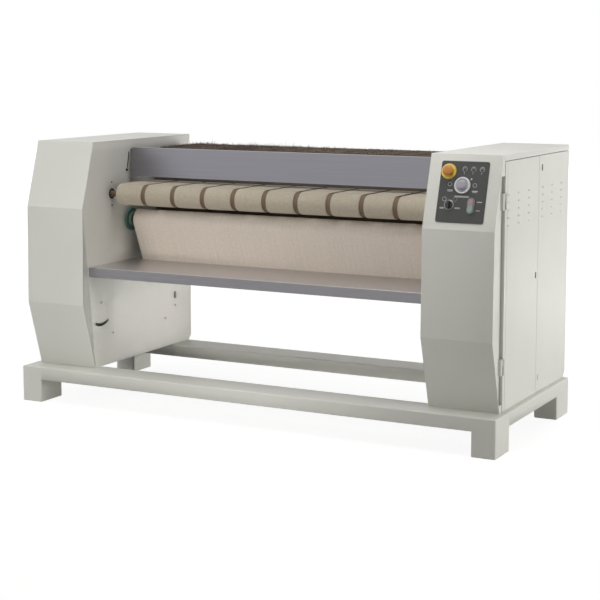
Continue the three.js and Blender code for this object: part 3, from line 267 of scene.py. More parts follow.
def woven(name, code, darker, streak_width=50 * MM, streak_share=0.25):
    """Plain weave on the piece's own UV, in metres: u across the band, v along it.

    Hills = warp wave times weft wave. Tone = slubs mixed with streaks that run along the band."""
    made, tree, shader = material(name, Metallic=0.0, Roughness=0.88, IOR=1.45, Sheen_Weight=0.25,
                                  Sheen_Roughness=0.5, Sheen_Tint=linear("#efe6d6"))
    place = pattern_place(tree, source="UV")
    thread = {"Scale": 1 / THREAD / WAVES_PER_UNIT, "Distortion": 0.4, "Detail": 1.0,
              "Detail Scale": 2.0}
    warp, weft = (
        add(tree, "TexWave", {"wave_type": "BANDS", "bands_direction": direction}, thread,
            {"Vector": place}, "Fac")
        for direction in ("X", "Y")
    )
    hills = add(tree, "Math", {"operation": "MULTIPLY"}, links={0: warp, 1: weft})
    along = add(tree, "Mapping", values={"Scale": (1 / streak_width, 1.2, 1.0)},
                links={"Vector": place})
    streaks = add(tree, "TexNoise", values={"Scale": 1.0, "Detail": 4.0, "Roughness": 0.6},
                  links={"Vector": along})
    slubs = add(tree, "TexNoise", values={"Scale": 90.0}, links={"Vector": place})
    tone = add(tree, "Mix", {"data_type": "FLOAT"}, {"Factor": streak_share},
               {"A": slubs, "B": streaks}, "Result")
    tree.links.new(two_tones(tree, tone, 0.36, 0.62, darker, code), shader.inputs["Base Color"])
    add(tree, "Bump", values={"Distance": 0.35 * MM, "Strength": 0.7}, links={"Height": hills},
        feeds=shader.inputs["Normal"])
    return made


# Ironed cotton has a dry, faintly downy face. The belts are grey-brown with scorch, and the
# apron is cleaner, with fine streaks along its warp.
belt_cotton = woven("woven_cotton_belt", "#b6ac9a", "#ada391")
apron_cotton = woven("woven_cotton_apron", "#e6dbce", "#dccfc1", 5 * MM, 0.55)
print("woven finishes made")


# %% Felt and loose wool
def matted(name, code, darker, fibre):
    """Needle felt: noise at the width of a clump of fibres, mixed with broad patches."""
    made, tree, shader = material(name, Metallic=0.0, Roughness=0.95, IOR=1.45, Sheen_Weight=0.4,
                                  Sheen_Roughness=0.6, Sheen_Tint=linear("#b39b80"))
    place = pattern_place(tree)
    fibres = add(tree, "TexNoise", values={"Scale": 1 / fibre, "Detail": 6.0, "Roughness": 0.75},
                 links={"Vector": place})
    patches = add(tree, "TexNoise", values={"Scale": 14.0, "Detail": 3.0}, links={"Vector": place})
    tone = add(tree, "Mix", {"data_type": "FLOAT"}, {"Factor": 0.2},
               {"A": fibres, "B": patches}, "Result")
    tree.links.new(two_tones(tree, tone, 0.3, 0.7, darker, code), shader.inputs["Base Color"])
    add(tree, "Bump", values={"Distance": 1 * MM}, links={"Height": fibres},
        feeds=shader.inputs["Normal"])
    return made


# Felt swallows light, with a soft glow at grazing angles. Its loose wool is a paler brown.
brown_felt = matted("needle_felt", "#514840", "#38312b", 3 * MM)
loose_wool = matted("loose_wool_fibre", "#6e6258", "#493f37", 20 * MM)
print("felt finishes made")

# %% [markdown]
# ## Rubber, plastics and print
#
# The rollers are covered in brown rubber, ground smooth. Knobs and buttons are moulded, and
# a moulding has a slight sink and flow texture that keeps its highlight from being perfect.
# The control panel is a printed film, matt and finely grained. The grain of these is a few
# hundredths of a millimetre on the real things, and about one millimetre here.

# %% Rubber and plastic finishes
DEEPER = 0.9  # the deeper tone of a moulding, as a share of its colour


def moulded(name, code, roughness, grain=1.2 * MM, depth=0.03 * MM, coat=0.0):
    """Moulded plastic or rubber: a colour that drifts by a tenth, and a fine grain."""
    made, tree, shader = material(name, Metallic=0.0, IOR=1.49, Coat_Weight=coat)
    place = pattern_place(tree)
    grains = add(tree, "TexNoise", values={"Scale": 1 / grain}, links={"Vector": place})
    drift = add(tree, "TexNoise", values={"Scale": 25.0}, links={"Vector": place})
    colour = linear(code)
    deeper = tuple(DEEPER * light for light in colour[:3]) + (1.0,)
    add(tree, "Mix", {"data_type": "RGBA"}, {"A": deeper, "B": colour}, {"Factor": drift}, "Result",
        shader.inputs["Base Color"])
    add(tree, "MapRange", values={"To Min": roughness - 0.04, "To Max": roughness + 0.06},
        links={"Value": grains}, feeds=shader.inputs["Roughness"])
    add(tree, "Bump", values={"Distance": depth}, links={"Height": grains},
        feeds=shader.inputs["Normal"])
    return made


# Rubber is nearly dull, and the panel's film matt.
roller_rubber = moulded("ground_brown_rubber", "#6f5b48", 0.7)
belt_rubber = moulded("black_belt_rubber", "#232323", 0.75)
panel_print = moulded("printed_panel_film", "#40403e", 0.6, 0.9 * MM, 0.02 * MM)
# Knobs and buttons shine from a polished mould, and a clear coat sharpens the highlight.
yellow_shell = moulded("yellow_moulding", "#e3c146", 0.32, coat=0.3)
orange_shell = moulded("orange_moulding", "#c07a2c", 0.3, coat=0.4)
white_shell = moulded("white_moulding", "#dedddb", 0.3, coat=0.2)
black_shell = moulded("black_moulding", "#191919", 0.35, coat=0.2)
red_shell = moulded("red_moulding", "#a5898a", 0.3, coat=0.3)
green_shell = moulded("green_moulding", "#8fa79b", 0.3, coat=0.3)
lamp_glass = moulded("smoked_lamp_lens", "#5a5a58", 0.16, coat=0.6)
silver_face = moulded("silvered_dial_face", "#a3a2aa", 0.38)
grey_shell = moulded("grey_moulding", "#8b8b8d", 0.4)
# Screen print lies on the film as a thin dry layer of ink.
print_white = moulded("white_print", "#c9c9c7", 0.6)
print_grey = moulded("grey_print", "#a3a3a1", 0.6)
print_green = moulded("green_print", "#5c7d6f", 0.6)
print("plastic and print finishes made")

# %% [markdown]
# ## Giving the frame its finishes
#
# The record names a finish for every piece of the frame, so one dictionary dresses them all.
# A folded sheet never has a razor edge: its corner is rounded by the bend. The frame's sheets
# are cut square, so three modifiers soften them. Weld joins the loose triangles, planar
# Decimate clears the flat faces of needless edges, and Bevel rounds what is left. A flat face
# with punched holes can't be one face for the Bevel, so the punched sheets stay as they are.

# %% Finishes on the frame
finish_of_slot = {
    "white_paint": powder_white, "stainless": guard_steel, "drum_steel": turned_steel,
    "zinc_steel": zinc_plate, "needle_felt": brown_felt, "apron_cloth": apron_cotton,
    "belt_cloth": belt_cotton, "roller_cover": roller_rubber, "green_paint": green_enamel,
    "motor_paint": motor_enamel, "rubber": belt_rubber, "panel_film": panel_print,
    "yellow_plastic": yellow_shell, "orange_plastic": orange_shell, "white_plastic": white_shell,
    "black_plastic": black_shell, "red_plastic": red_shell, "green_plastic": green_shell,
    "lamp_lens": lamp_glass,
}
slot_of_node = {row["node"]: row["material_slot"] for row in frame["record"]["subparts"]}
for node_name, node in frame["nodes"].items():
    node.data.materials.clear()
    node.data.materials.append(finish_of_slot[slot_of_node[node_name]])
frame["nodes"]["receiving_tray"].data.materials[0] = tray_steel
print("dressed", len(frame["nodes"]), "pieces of the frame")

# %% Softened edges on the folded sheets
WELD = 0.02 * MM
FOLD_RADIUS = 2.2 * MM
FLAT_ANGLE = 0.5  # degrees
FOLD_ANGLE = 25


def weld_and_round(piece):
    """Welds loose triangles, clears flat faces and rounds edges sharper than the fold angle."""
    weld = piece.modifiers.new("weld", "WELD")
    weld.merge_threshold = WELD
    flats = piece.modifiers.new("flats", "DECIMATE")
    flats.decimate_type = "DISSOLVE"
    flats.angle_limit = math.radians(FLAT_ANGLE)
    fold = piece.modifiers.new("fold", "BEVEL")
    fold.width = FOLD_RADIUS
    fold.segments = 3
    fold.limit_method = "ANGLE"
    fold.angle_limit = math.radians(FOLD_ANGLE)
    fold.miter_outer = "MITER_ARC"


FOLDED = ["left_front_cover", "left_top_cover", "left_rear_panel", "right_top_cover",
          "right_rear_panel", "right_hinge_post", "rear_cover", "receiving_tray", "finger_guard"]
for sheet_name in FOLDED:
    weld_and_round(frame["nodes"][sheet_name])
print("softened", len(FOLDED), "folded sheets")

# %% [markdown]
# ## Surfaces from arrays
#
# Every new piece is a grid of points, computed as whole arrays. Two helpers are enough for
# most of a machine: a profile turned about an axis, and a section carried along a path. A
# profile's corners are eased by a small curve first, as a lathe hand or a mould would.

# %% Surfaces on a grid
SAME_POINT = 1e-6
CREASE_ANGLE = 35  # degrees


def grid_piece(name, points, finish, body, close_rows=False, close_columns=False, uv=None,
               caps=False):
    """A piece from points[row, column, xyz], its faces running between neighbouring rows."""
    rows, columns = points.shape[:2]
    index = np.arange(rows * columns).reshape(rows, columns)
    down = np.vstack([index, index[:1]]) if close_rows else index
    whole = np.hstack([down, down[:, :1]]) if close_columns else down
    corners = [whole[:-1, :-1], whole[1:, :-1], whole[1:, 1:], whole[:-1, 1:]]
    faces = np.stack(corners, -1).reshape(-1, 4).tolist()
    if caps:
        faces += [index[0, ::-1].tolist(), index[-1].tolist()]
    mesh = bpy.data.meshes.new(name)
    mesh.from_pydata(points.reshape(-1, 3).tolist(), [], faces)
    if uv is not None:
        layer = mesh.uv_layers.new(name="cloth")
        of_corners = [corner for face in faces for corner in uv_of(face, uv, rows, columns)]
        layer.data.foreach_set("uv", np.array(of_corners).astype(np.float32).ravel())
    return finished(name, mesh, finish, body)


def uv_of(face, uv, rows, columns):
    """A face's UV corners. Where the face closes the grid, they go one step past its last value."""
    row = np.array(face) // columns
    column = np.array(face) % columns
    over_row = (row == 0) & (row.max() == rows - 1) & (rows > 2)
    over_column = (column == 0) & (column.max() == columns - 1) & (columns > 2)
    past_row = np.array([0.0, uv[-1, 0, 1] + (uv[-1, 0, 1] - uv[-2, 0, 1])])
    past_column = np.array([uv[0, -1, 0] + (uv[0, -1, 0] - uv[0, -2, 0]), 0.0])
    past = over_row[:, None] * past_row + over_column[:, None] * past_column
    return (uv.reshape(-1, 2)[face] + past).tolist()


def finished(name, mesh, finish, body):
    """A mesh as a piece: faces out, smooth where it is smooth, with its finish, body and slot."""
    work = bmesh.new()
    work.from_mesh(mesh)
    bmesh.ops.remove_doubles(work, verts=work.verts, dist=SAME_POINT)
    bmesh.ops.recalc_face_normals(work, faces=work.faces)
    work.to_mesh(mesh)
    work.free()
    mesh.shade_smooth()
    mesh.set_sharp_from_angle(angle=math.radians(CREASE_ANGLE))
    mesh.materials.append(finish)
    piece = put_in_scene(name, mesh)
    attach(piece, body)
    return piece


print("grid helpers ready")

# %% Turned profiles
EASE = 1 * MM
EASE_STEPS = 4


def eased(points, radius):
    """An open profile whose inner corners are quadratic curves, cut back by at most the radius.

    Curve = (1 - t)^2 * start + 2 t (1 - t) * corner + t^2 * end."""
    points = np.array(points, float)
    before, corner, after = points[:-2], points[1:-1], points[2:]
    to_before, to_after = before - corner, after - corner
    long_before = np.linalg.norm(to_before, axis=1, keepdims=True)
    long_after = np.linalg.norm(to_after, axis=1, keepdims=True)
    cut = np.minimum(radius, 0.45 * np.minimum(long_before, long_after))
    start = (corner + to_before / long_before * cut)[:, None]
    end = (corner + to_after / long_after * cut)[:, None]
    t = np.linspace(0, 1, EASE_STEPS + 1)[None, :, None]
    curve = (1 - t) ** 2 * start + 2 * t * (1 - t) * corner[:, None] + t ** 2 * end
    return np.vstack([points[:1], curve.reshape(-1, 2), points[-1:]])


def turned(name, profile, origin, axis, finish, body, ease=EASE, sides=64):
    """A profile of (along, radius) points turned about an axis through origin.

    Point = origin + along * axis + radius * (cos a * first + sin a * second)."""
    line = eased(profile, ease)
    axis = np.array(axis, float) / np.linalg.norm(axis)
    helper = np.array([0.0, 0.0, 1.0]) if abs(axis[2]) < 0.9 else np.array([1.0, 0.0, 0.0])
    first = np.cross(axis, helper)
    first /= np.linalg.norm(first)
    second = np.cross(axis, first)
    angle = np.linspace(0, math.tau, sides, endpoint=False)
    wheel = np.cos(angle)[:, None] * first + np.sin(angle)[:, None] * second
    points = np.array(origin) + line[:, None, :1] * axis + line[:, None, 1:] * wheel[None]
    return grid_piece(name, points, finish, body, close_columns=True)


print("turning helpers ready")

# %% [markdown]
# ## Welded base
#
# The base is bent from sheet steel, welded and ground flush before it was painted, so no joint
# shows between its rails and legs. The frame has it as eight pieces. Here it is one skin: a
# grid of cells is marked as steel or air, and every face between the two becomes a quad. The
# undersides of the rails stay open. Bevel rounds the bends and Solidify gives the sheet its
# thickness, inwards.

# %% Skin of a block of cells
def skin_of_cells(edges, filled):
    """Quads between filled and empty cells: along each axis, where a cell differs from the next."""
    points = np.stack(np.meshgrid(*edges, indexing="ij"), -1).reshape(-1, 3)
    number = np.arange(len(points)).reshape([len(edge) for edge in edges])
    quads = []
    for axis in range(3):
        padded = np.pad(np.moveaxis(filled, axis, 0).astype(int), ((1, 1), (0, 0), (0, 0)))
        at = np.moveaxis(number, axis, 0)
        corners = [at[:, :-1, :-1], at[:, 1:, :-1], at[:, 1:, 1:], at[:, :-1, 1:]]
        quads.append(np.stack(corners, -1)[np.diff(padded, axis=0) != 0])
    quads = np.vstack(quads)
    used, compact = np.unique(quads, return_inverse=True)
    return points[used], compact.reshape(quads.shape)


print("cell helper ready")

# %% Welded base
BASE_SHEET = 4 * MM
BASE_BEND = 4 * MM
BEND_ANGLE = 30  # degrees

base_nodes = [name for name in frame["nodes"] if name.startswith(("base_", "leg_"))]
rail_low, rail_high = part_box("base_front_rail")
rear_low, rear_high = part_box("base_rear_rail")
leg_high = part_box("leg_front_left")[1]
side_x = [rail_low.x, leg_high.x, -leg_high.x, rail_high.x]
side_y = [rail_low.y, rail_high.y, rear_low.y, rear_high.y]
levels = [0.0, rail_low.z, rail_high.z]
# Cells left to right, front to back and upwards: four legs below, rails above, no middle.
steel = np.ones((3, 3, 2), bool)
steel[1, :, 0] = steel[:, 1, 0] = False
steel[1, 1] = False
skin_points, skin_quads = skin_of_cells([side_x, side_y, levels], steel)
quad_heights = skin_points[skin_quads][..., 2]
open_below = (np.ptp(quad_heights, axis=1) < SAME_POINT) & (
    np.abs(quad_heights[:, 0] - rail_low.z) < SAME_POINT)
base_mesh = bpy.data.meshes.new("base_welded")
base_mesh.from_pydata(skin_points.tolist(), [], skin_quads[~open_below].tolist())
base = finished("base_welded", base_mesh, powder_white, "frame")
bends = base.modifiers.new("bends", "BEVEL")
bends.width = BASE_BEND
bends.segments = 4
bends.limit_method = "ANGLE"
bends.angle_limit = math.radians(BEND_ANGLE)
wall = base.modifiers.new("wall", "SOLIDIFY")
wall.thickness = BASE_SHEET
wall.offset = -1
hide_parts(*base_nodes)
print("base welded from", len(base_nodes), "pieces")

# %% [markdown]
# ## Rollers and drum
#
# A roller is a tube with a rubber cover and a steel journal at each end. The frame's rollers
# have twenty flat sides. A fine turned piece takes the place of each, with the same radius
# and length, which are read from the frame.

# %% Rollers
JOURNAL = 12 * MM


def axis_of(node):
    """(Y, Z, radius) of a round piece that lies along X, from its box."""
    low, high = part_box(node)
    return (low.y + high.y) / 2, (low.z + high.z) / 2, (high.z - low.z) / 2


ROLLER_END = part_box("ironing_felt")[1].x
bodies = frame["record"]["behaviour"]["bodies"]
body_of_node = {node: body for body, nodes in bodies.items() for node in nodes}
roller_names = [name for name, slot in slot_of_node.items() if slot == "roller_cover"]
wheel = {name: axis_of(name) for name in roller_names}
for name in roller_names:
    y, z, radius = wheel[name]
    journal_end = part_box(name)[1].x
    profile = [
        (-journal_end, 0), (-journal_end, JOURNAL), (-ROLLER_END, JOURNAL), (-ROLLER_END, radius),
        (ROLLER_END, radius), (ROLLER_END, JOURNAL), (journal_end, JOURNAL), (journal_end, 0),
    ]
    piece = turned(name + "_turned", profile, (0, y, z), (1, 0, 0), roller_rubber,
                   body_of_node[name])
    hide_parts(name)
print("turned", len(roller_names), "rollers")

# %% [markdown]
# ## Endless bands
#
# A band under tension is straight between wheels and follows a wheel's arc where it touches.
# The straight part leaves each wheel along the line tangent to both circles, so the whole
# loop follows from centres and radii. A wheel outside the loop, like the drum, counts with a
# negative radius. The band's section, a flat strip with round edges, is carried round it.

# %% Band helpers
TOUCH = 0.3 * MM  # a band stands this far off its wheels
drum_y, drum_z = joints["drum_spin"]["pos_m"][1:]
DRUM_RADIUS = 167 * MM


def tangent_angle(a, b):
    """Angle of the normal shared by wheels a and b, where the band runs straight between them."""
    dy, dz = b[0] - a[0], b[1] - a[1]
    distance = math.hypot(dy, dz)
    across = (a[2] - b[2]) / distance
    along = math.sqrt(1 - across * across)
    return math.atan2(across * dz - along * dy, across * dy + along * dz)


def band_path(wheels, arc_step, run_step):
    """Points (y, z), outward normals and distance round a loop of wheels (y, z, signed radius)."""
    count = len(wheels)
    angles = [tangent_angle(wheels[i], wheels[(i + 1) % count]) for i in range(count)]
    pieces = []
    for i, (y, z, radius) in enumerate(wheels):
        start = angles[i - 1]
        turn = (angles[i] - start) % math.tau if radius > 0 else -((start - angles[i]) % math.tau)
        steps = max(2, math.ceil(abs(turn * radius) / arc_step))
        around = start + turn * np.linspace(0, 1, steps + 1)
        normal = np.stack([np.cos(around), np.sin(around)], 1)
        pieces.append(np.hstack([np.array([y, z]) + radius * normal, normal]))
        end = pieces[-1][-1]
        ny, nz, nr = wheels[(i + 1) % count]
        target = np.array([ny, nz]) + nr * end[2:]
        run = np.linalg.norm(target - end[:2])
        inner = np.linspace(0, 1, max(1, math.ceil(run / run_step)) + 1)[1:-1, None]
        straight = end[:2] + inner * (target - end[:2])
        pieces.append(np.hstack([straight, np.repeat(end[None, 2:], len(straight), 0)]))
    path = np.vstack(pieces)
    steps = np.linalg.norm(np.roll(path[:, :2], -1, 0) - path[:, :2], axis=1)
    return path[:, :2], path[:, 2:], np.concatenate([[0], np.cumsum(steps)])


def band(name, wheels, thickness, x0, x1, columns, finish, nodes, steps, wave=None):
    """A strip of cloth from x0 to x1 round the wheels. wave(x, distance) lifts its surfaces.

    steps = spacing of its points on the arcs and on the straight runs."""
    middle = [(y, z, r + (TOUCH + thickness / 2)) for y, z, r in wheels]
    path, normal, distance = band_path(middle, *steps)
    half = thickness / 2
    edge = np.linspace(-math.pi / 2, math.pi / 2, 5)
    across = np.linspace(x0 + half, x1 - half, columns)
    aside, above, flat = half * np.cos(edge), half * np.sin(edge), np.full(columns, half)
    x = np.concatenate([across, x1 - half + aside, across[::-1], x0 + half - aside])
    rise = np.concatenate([-flat, above, flat, -above])
    lift = wave(x[None], distance[:-1, None]) if wave else 0
    out = rise[None] + lift
    points = np.stack([
        np.broadcast_to(x, (len(path), len(x))),
        path[:, :1] + normal[:, :1] * out,
        path[:, 1:] + normal[:, 1:] * out,
    ], -1)
    uv = np.stack(np.broadcast_arrays(x[None], distance[:-1, None]), -1)
    piece = grid_piece(name, points, finish, "frame", True, True, uv)
    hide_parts(nodes)
    print(name, "loop of", round(float(distance[-1]), 3), "m")
    return path, normal


print("bands stand", TOUCH, "m off their wheels")

# %% [markdown]
# ## Feed belts
#
# Ten cotton belts carry the linen in. They run round the front feed roller and a thin roller
# near the drum, and the brown roller shows in the gaps between them.

# %% Feed belts
BELT = 3 * MM
for number in range(1, 11):
    node_name = f"feed_belt_{number:02d}"
    low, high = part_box(node_name)
    band(node_name + "_woven", [wheel["feed_roller_front"], wheel["feed_roller_rear"]], BELT,
         low.x, high.x, 14, belt_cotton, node_name, (3 * MM, 20 * MM))

# %% [markdown]
# ## Delivery apron
#
# The apron holds the linen against the drum's underside and brings it down the front. A
# cloth this wide is never quite even: the pull wanders, and faint creases run down the
# straight parts. Each is a narrow ridge at a random place, up to half a millimetre high.

# %% Delivery apron
APRON = 4 * MM
apron_wheels = [
    wheel["apron_roller_front"], wheel["apron_roller_lower"], wheel["apron_roller_rear"],
    (drum_y, drum_z, -(DRUM_RADIUS + 2 * TOUCH + APRON)),
]
CREASES = 26
crease_place = random.uniform(-0.68, 0.68, CREASES)
crease_width = random.uniform(6 * MM, 20 * MM, CREASES)
crease_height = random.uniform(-0.5 * MM, 0.5 * MM, CREASES)


def creases(x, along):
    """Sum of narrow ridges exp(-((x - place) / width)^2), drifting slowly along the loop."""
    wander = 4 * MM * np.sin(along[..., None] * 5 + crease_place * 9)
    ridge = np.exp(-(((x[..., None] - crease_place - wander) / crease_width) ** 2))
    return (ridge * crease_height).sum(-1)


band("delivery_apron_woven", apron_wheels, APRON, -ROLLER_END, ROLLER_END, 180, apron_cotton,
     "delivery_apron", (6 * MM, 12 * MM), creases)

# %% [markdown]
# ## Ironing felt
#
# The felt presses the linen onto the drum. Heat and wear have frayed it, and a pile of loose
# fibres stands up along its top run. A fibre is a three-sided blade that tapers to a point.
# They come in tufts, because needled felt breaks up in clumps.

# %% Ironing felt
FELT = 6 * MM
LUMP_HEIGHT = 0.4 * MM
felt_wheels = [
    wheel["felt_roller_upper"], wheel["felt_roller_front"],
    (drum_y, drum_z, -(DRUM_RADIUS + 2 * TOUCH + FELT)), wheel["felt_roller_lower"],
]


def matting(x, along):
    """Low lumps of the felt's surface: products of sines with unlike periods."""
    lengthwise = np.sin(along * 47 + 2 * np.sin(x * 17))
    return LUMP_HEIGHT * np.sin(x * 61 + 3 * np.sin(along * 23)) * lengthwise


felt_path, felt_normal = band(
    "ironing_felt_needled", felt_wheels, FELT, -ROLLER_END, ROLLER_END, 120, brown_felt,
    "ironing_felt", (5 * MM, 12 * MM), matting)

# %% Loose fibres
FIBRES = 26000
TUFTS = 700
TUFT_SPREAD = 3 * MM
TUFT_LENGTH = 0.0042
TILT = 0.55
SHORTEST = 1.5 * MM
FIBRE_HALF = 0.8 * MM
ROOT_DEPTH = 0.3 * MM
FRAY_FRONT = wheel["felt_roller_front"][0] - wheel["felt_roller_front"][2] * 0.9 - 20 * MM
FRAY_BACK = wheel["felt_roller_upper"][0] + wheel["felt_roller_upper"][2] * 0.7


def frayed_fibres():
    """Blades from roots on the felt's top run. Each leans from the normal by a random tilt.

    A tuft's length is drawn from a gamma curve and grows towards the left end. A blade's foot
    has three corners: 0.5 and 0.87 are the cosine and sine of 60 degrees."""
    tuft_x = random.uniform(-ROLLER_END + 10 * MM, ROLLER_END - 10 * MM, TUFTS)
    leftward = 0.55 - 0.45 * tuft_x / ROLLER_END
    tuft_long = random.gamma(1.4, TUFT_LENGTH, TUFTS) * leftward
    tuft = random.integers(0, TUFTS, FIBRES)
    x = tuft_x[tuft] + random.normal(0, TUFT_SPREAD, FIBRES)
    x = np.clip(x, -ROLLER_END + 2 * MM, ROLLER_END - 2 * MM)
    top = (felt_path[:, 1] > wheel["felt_roller_front"][1]) & (felt_path[:, 0] < FRAY_BACK)
    roots = np.flatnonzero(top & (felt_path[:, 0] > FRAY_FRONT))
    at = roots[random.integers(0, len(roots), FIBRES)]
    out = np.stack([np.zeros(FIBRES), felt_normal[at, 0], felt_normal[at, 1]], 1)
    root = np.stack([x, felt_path[at, 0], felt_path[at, 1]], 1) + out * (FELT / 2 - ROOT_DEPTH)
    lean = out + random.normal(0, TILT, (FIBRES, 3))
    lean /= np.linalg.norm(lean, axis=1, keepdims=True)
    length = SHORTEST + tuft_long[tuft] * random.uniform(0.5, 1.5, FIBRES)
    tip = root + lean * length[:, None]
    side = np.cross(lean, random.normal(0, 1, (FIBRES, 3)))
    side *= FIBRE_HALF / np.linalg.norm(side, axis=1, keepdims=True)
    third = np.cross(lean, side)
    across = root - 0.5 * side
    ring = np.stack([root + side, across + 0.87 * third, across - 0.87 * third, tip], 1)
    first = 4 * np.arange(FIBRES)[:, None, None]
    faces = first + np.array([[0, 1, 3], [1, 2, 3], [2, 0, 3], [0, 2, 1]])[None]
    return ring.reshape(-1, 3), faces.reshape(-1, 3)


fibre_points, fibre_faces = frayed_fibres()
fray_mesh = bpy.data.meshes.new("felt_frayed_fibres")
fray_mesh.from_pydata(fibre_points.tolist(), [], fibre_faces.tolist())
fray_mesh.materials.append(loose_wool)
fray = put_in_scene("felt_frayed_fibres", fray_mesh)
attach(fray, "frame")
print("felt has", FIBRES, "loose fibres")

# %% [markdown]
# ## Control panel fittings
#
# The panel lies on the door's sloping facet, so its fittings are placed in the panel's own
# directions: right, up the facet and out of it. The stop button's joint gives the slope, and
# the dial's joint a point on the panel.

# %% Places on the panel
OUT = -np.array(joints["estop_push"]["axis"], float)
RIGHT = np.array([1.0, 0.0, 0.0])
UP = np.cross(OUT, RIGHT)
# Right and up from the panel's centre, in millimetres.
DIAL_AT = (-2.5, 24.0)
ESTOP_AT = (-61.0, 74.0)
SELECTOR_AT = (-45.5, -49.0)
BUTTONS_AT = (38.5, -50)
PILOTS_AT = [(-0.5, 85.0), (32.5, 85.0), (65.5, 85.0)]
panel_centre = np.array(joints["dial_turn"]["pos_m"]) - MM * (DIAL_AT[0] * RIGHT + DIAL_AT[1] * UP)


def on_panel(right, up, out=0.0):
    """A point in metres, from millimetres right, up and out from the panel's centre."""
    return panel_centre + MM * (right * RIGHT + up * UP + out * OUT)


def fitting(name, profile, place, finish, body, ease=0.8, sides=64):
    """A turned fitting that stands on the panel; its profile is in millimetres."""
    line = np.array(profile) * MM
    return turned(name, line, on_panel(*place), OUT, finish, body, ease * MM, sides)


print("panel centre", panel_centre.round(4), "faces", OUT.round(4))

# %% Turned fittings
SEAT = 2.6  # foot of the fittings, in millimetres out from the panel's centre
collar = fitting(
    "estop_collar_turned",
    [(SEAT, 11.6), (SEAT, 29), (SEAT + 2.4, 29), (SEAT + 5, 26), (SEAT + 5, 17), (SEAT + 3, 14),
     (SEAT + 3, 11.6), (SEAT, 11.6)],
    ESTOP_AT, yellow_shell, "door")
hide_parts("estop_collar")
mushroom = fitting(
    "estop_button_turned",
    [(-6, 0), (-6, 11), (14.6, 11), (14.6, 18), (16.4, 19), (21.5, 18.6), (25.5, 13.5),
     (27.3, 6), (27.6, 0)],
    ESTOP_AT, orange_shell, "estop", 1.6)
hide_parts("estop_button")
dial = fitting(
    "thermostat_dial_turned",
    [(-6, 0), (-6, 4), (SEAT, 4), (SEAT, 30.5), (SEAT + 5, 30.5), (SEAT + 7, 28), (SEAT + 7, 25.2),
     (SEAT + 6, 24.6), (SEAT + 6, 0)],
    DIAL_AT, white_shell, "dial")
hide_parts("thermostat_dial")
fitting(
    "thermostat_dial_face",
    [(SEAT + 6.1, 0), (SEAT + 6.1, 24.4), (SEAT + 6.9, 24.2), (SEAT + 6.9, 16.6), (SEAT + 16, 15.2),
     (SEAT + 18, 12), (SEAT + 18, 0)],
    DIAL_AT, silver_face, "dial")
fitting(
    "selector_chrome_ring",
    [(SEAT, 15.6), (SEAT, 18.4), (SEAT + 1.6, 18.4), (SEAT + 2.4, 17.2), (SEAT + 2.4, 15.6),
     (SEAT, 15.6)],
    SELECTOR_AT, zinc_plate, "door", 0.4)
for number, place in enumerate(PILOTS_AT, 1):
    lens = fitting(
        f"pilot_lens_{number}",
        [(SEAT, 0), (SEAT, 7), (SEAT + 1.6, 7), (SEAT + 4.4, 5.2), (SEAT + 5.8, 2.4),
         (SEAT + 6, 0)],
        place, lamp_glass, "door", 1.2, 40)
    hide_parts(f"pilot_lamp_{number}")
print("fittings turned")

# %% [markdown]
# ## Printed marks
#
# The panel film carries plain marks: rings and bars in white and grey, and one ring in green.
# Each is a thin plate that stands a tenth of a millimetre proud.

# %% Printed marks
PRINT_LOW = 2.31
PRINT_HIGH = 2.44
LINE = 2  # width of a ring's line, in millimetres


def slab(name, outline, finish, hole=None, low=PRINT_LOW, high=PRINT_HIGH):
    """An outline of (right, up) millimetres as a thin plate; with a hole, a closed frame."""
    rings = [(outline, low), (outline, high)]
    if hole is not None:
        rings += [(hole, high), (hole, low)]
    points = np.array([[on_panel(a, b, level) for a, b in ring] for ring, level in rings])
    grid_piece(name, points, finish, "door", close_rows=hole is not None,
               close_columns=True, caps=hole is None)


def oval(centre, width, height, corners=40):
    """Stadium outline: two half circles joined by straight sides.

    Point = centre + radius * (cos a, sin a) + a shift by half the straight side."""
    angle = np.linspace(0, math.tau, corners, endpoint=False)
    radius = min(width, height) / 2
    shift_x = (width / 2 - radius) * np.sign(np.round(np.cos(angle), 6))
    shift_y = (height / 2 - radius) * np.sign(np.round(np.sin(angle), 6))
    right = centre[0] + radius * np.cos(angle) + shift_x
    up = centre[1] + radius * np.sin(angle) + shift_y
    return np.stack([right, up], 1)


def ring_mark(name, place, radius, finish):
    """A printed circle, one line wide inside its radius."""
    inner = radius - LINE
    slab(name, oval(place, 2 * radius, 2 * radius), finish, oval(place, 2 * inner, 2 * inner))


# Right, up, width and height in millimetres, and the ink.
bars = [(-48.5, 5.6, 22, 3, print_white), (-48.5, 1.2, 19, 2.6, print_grey),
        (47, 4.4, 22, 3, print_white), (47, 0, 18, 2.6, print_grey),
        (-0.7, -17, 56, 6.4, print_grey), (-72, -61, 18, 6.4, print_grey),
        (-12.4, -60, 22, 6, print_grey), (69.6, -34.7, 20, 3, print_white),
        (66.7, -66, 16, 3.4, print_grey)]
for number, (right, up, width, height, ink) in enumerate(bars, 1):
    slab(f"panel_bar_{number}", oval((right, up), width, height, 24), ink)
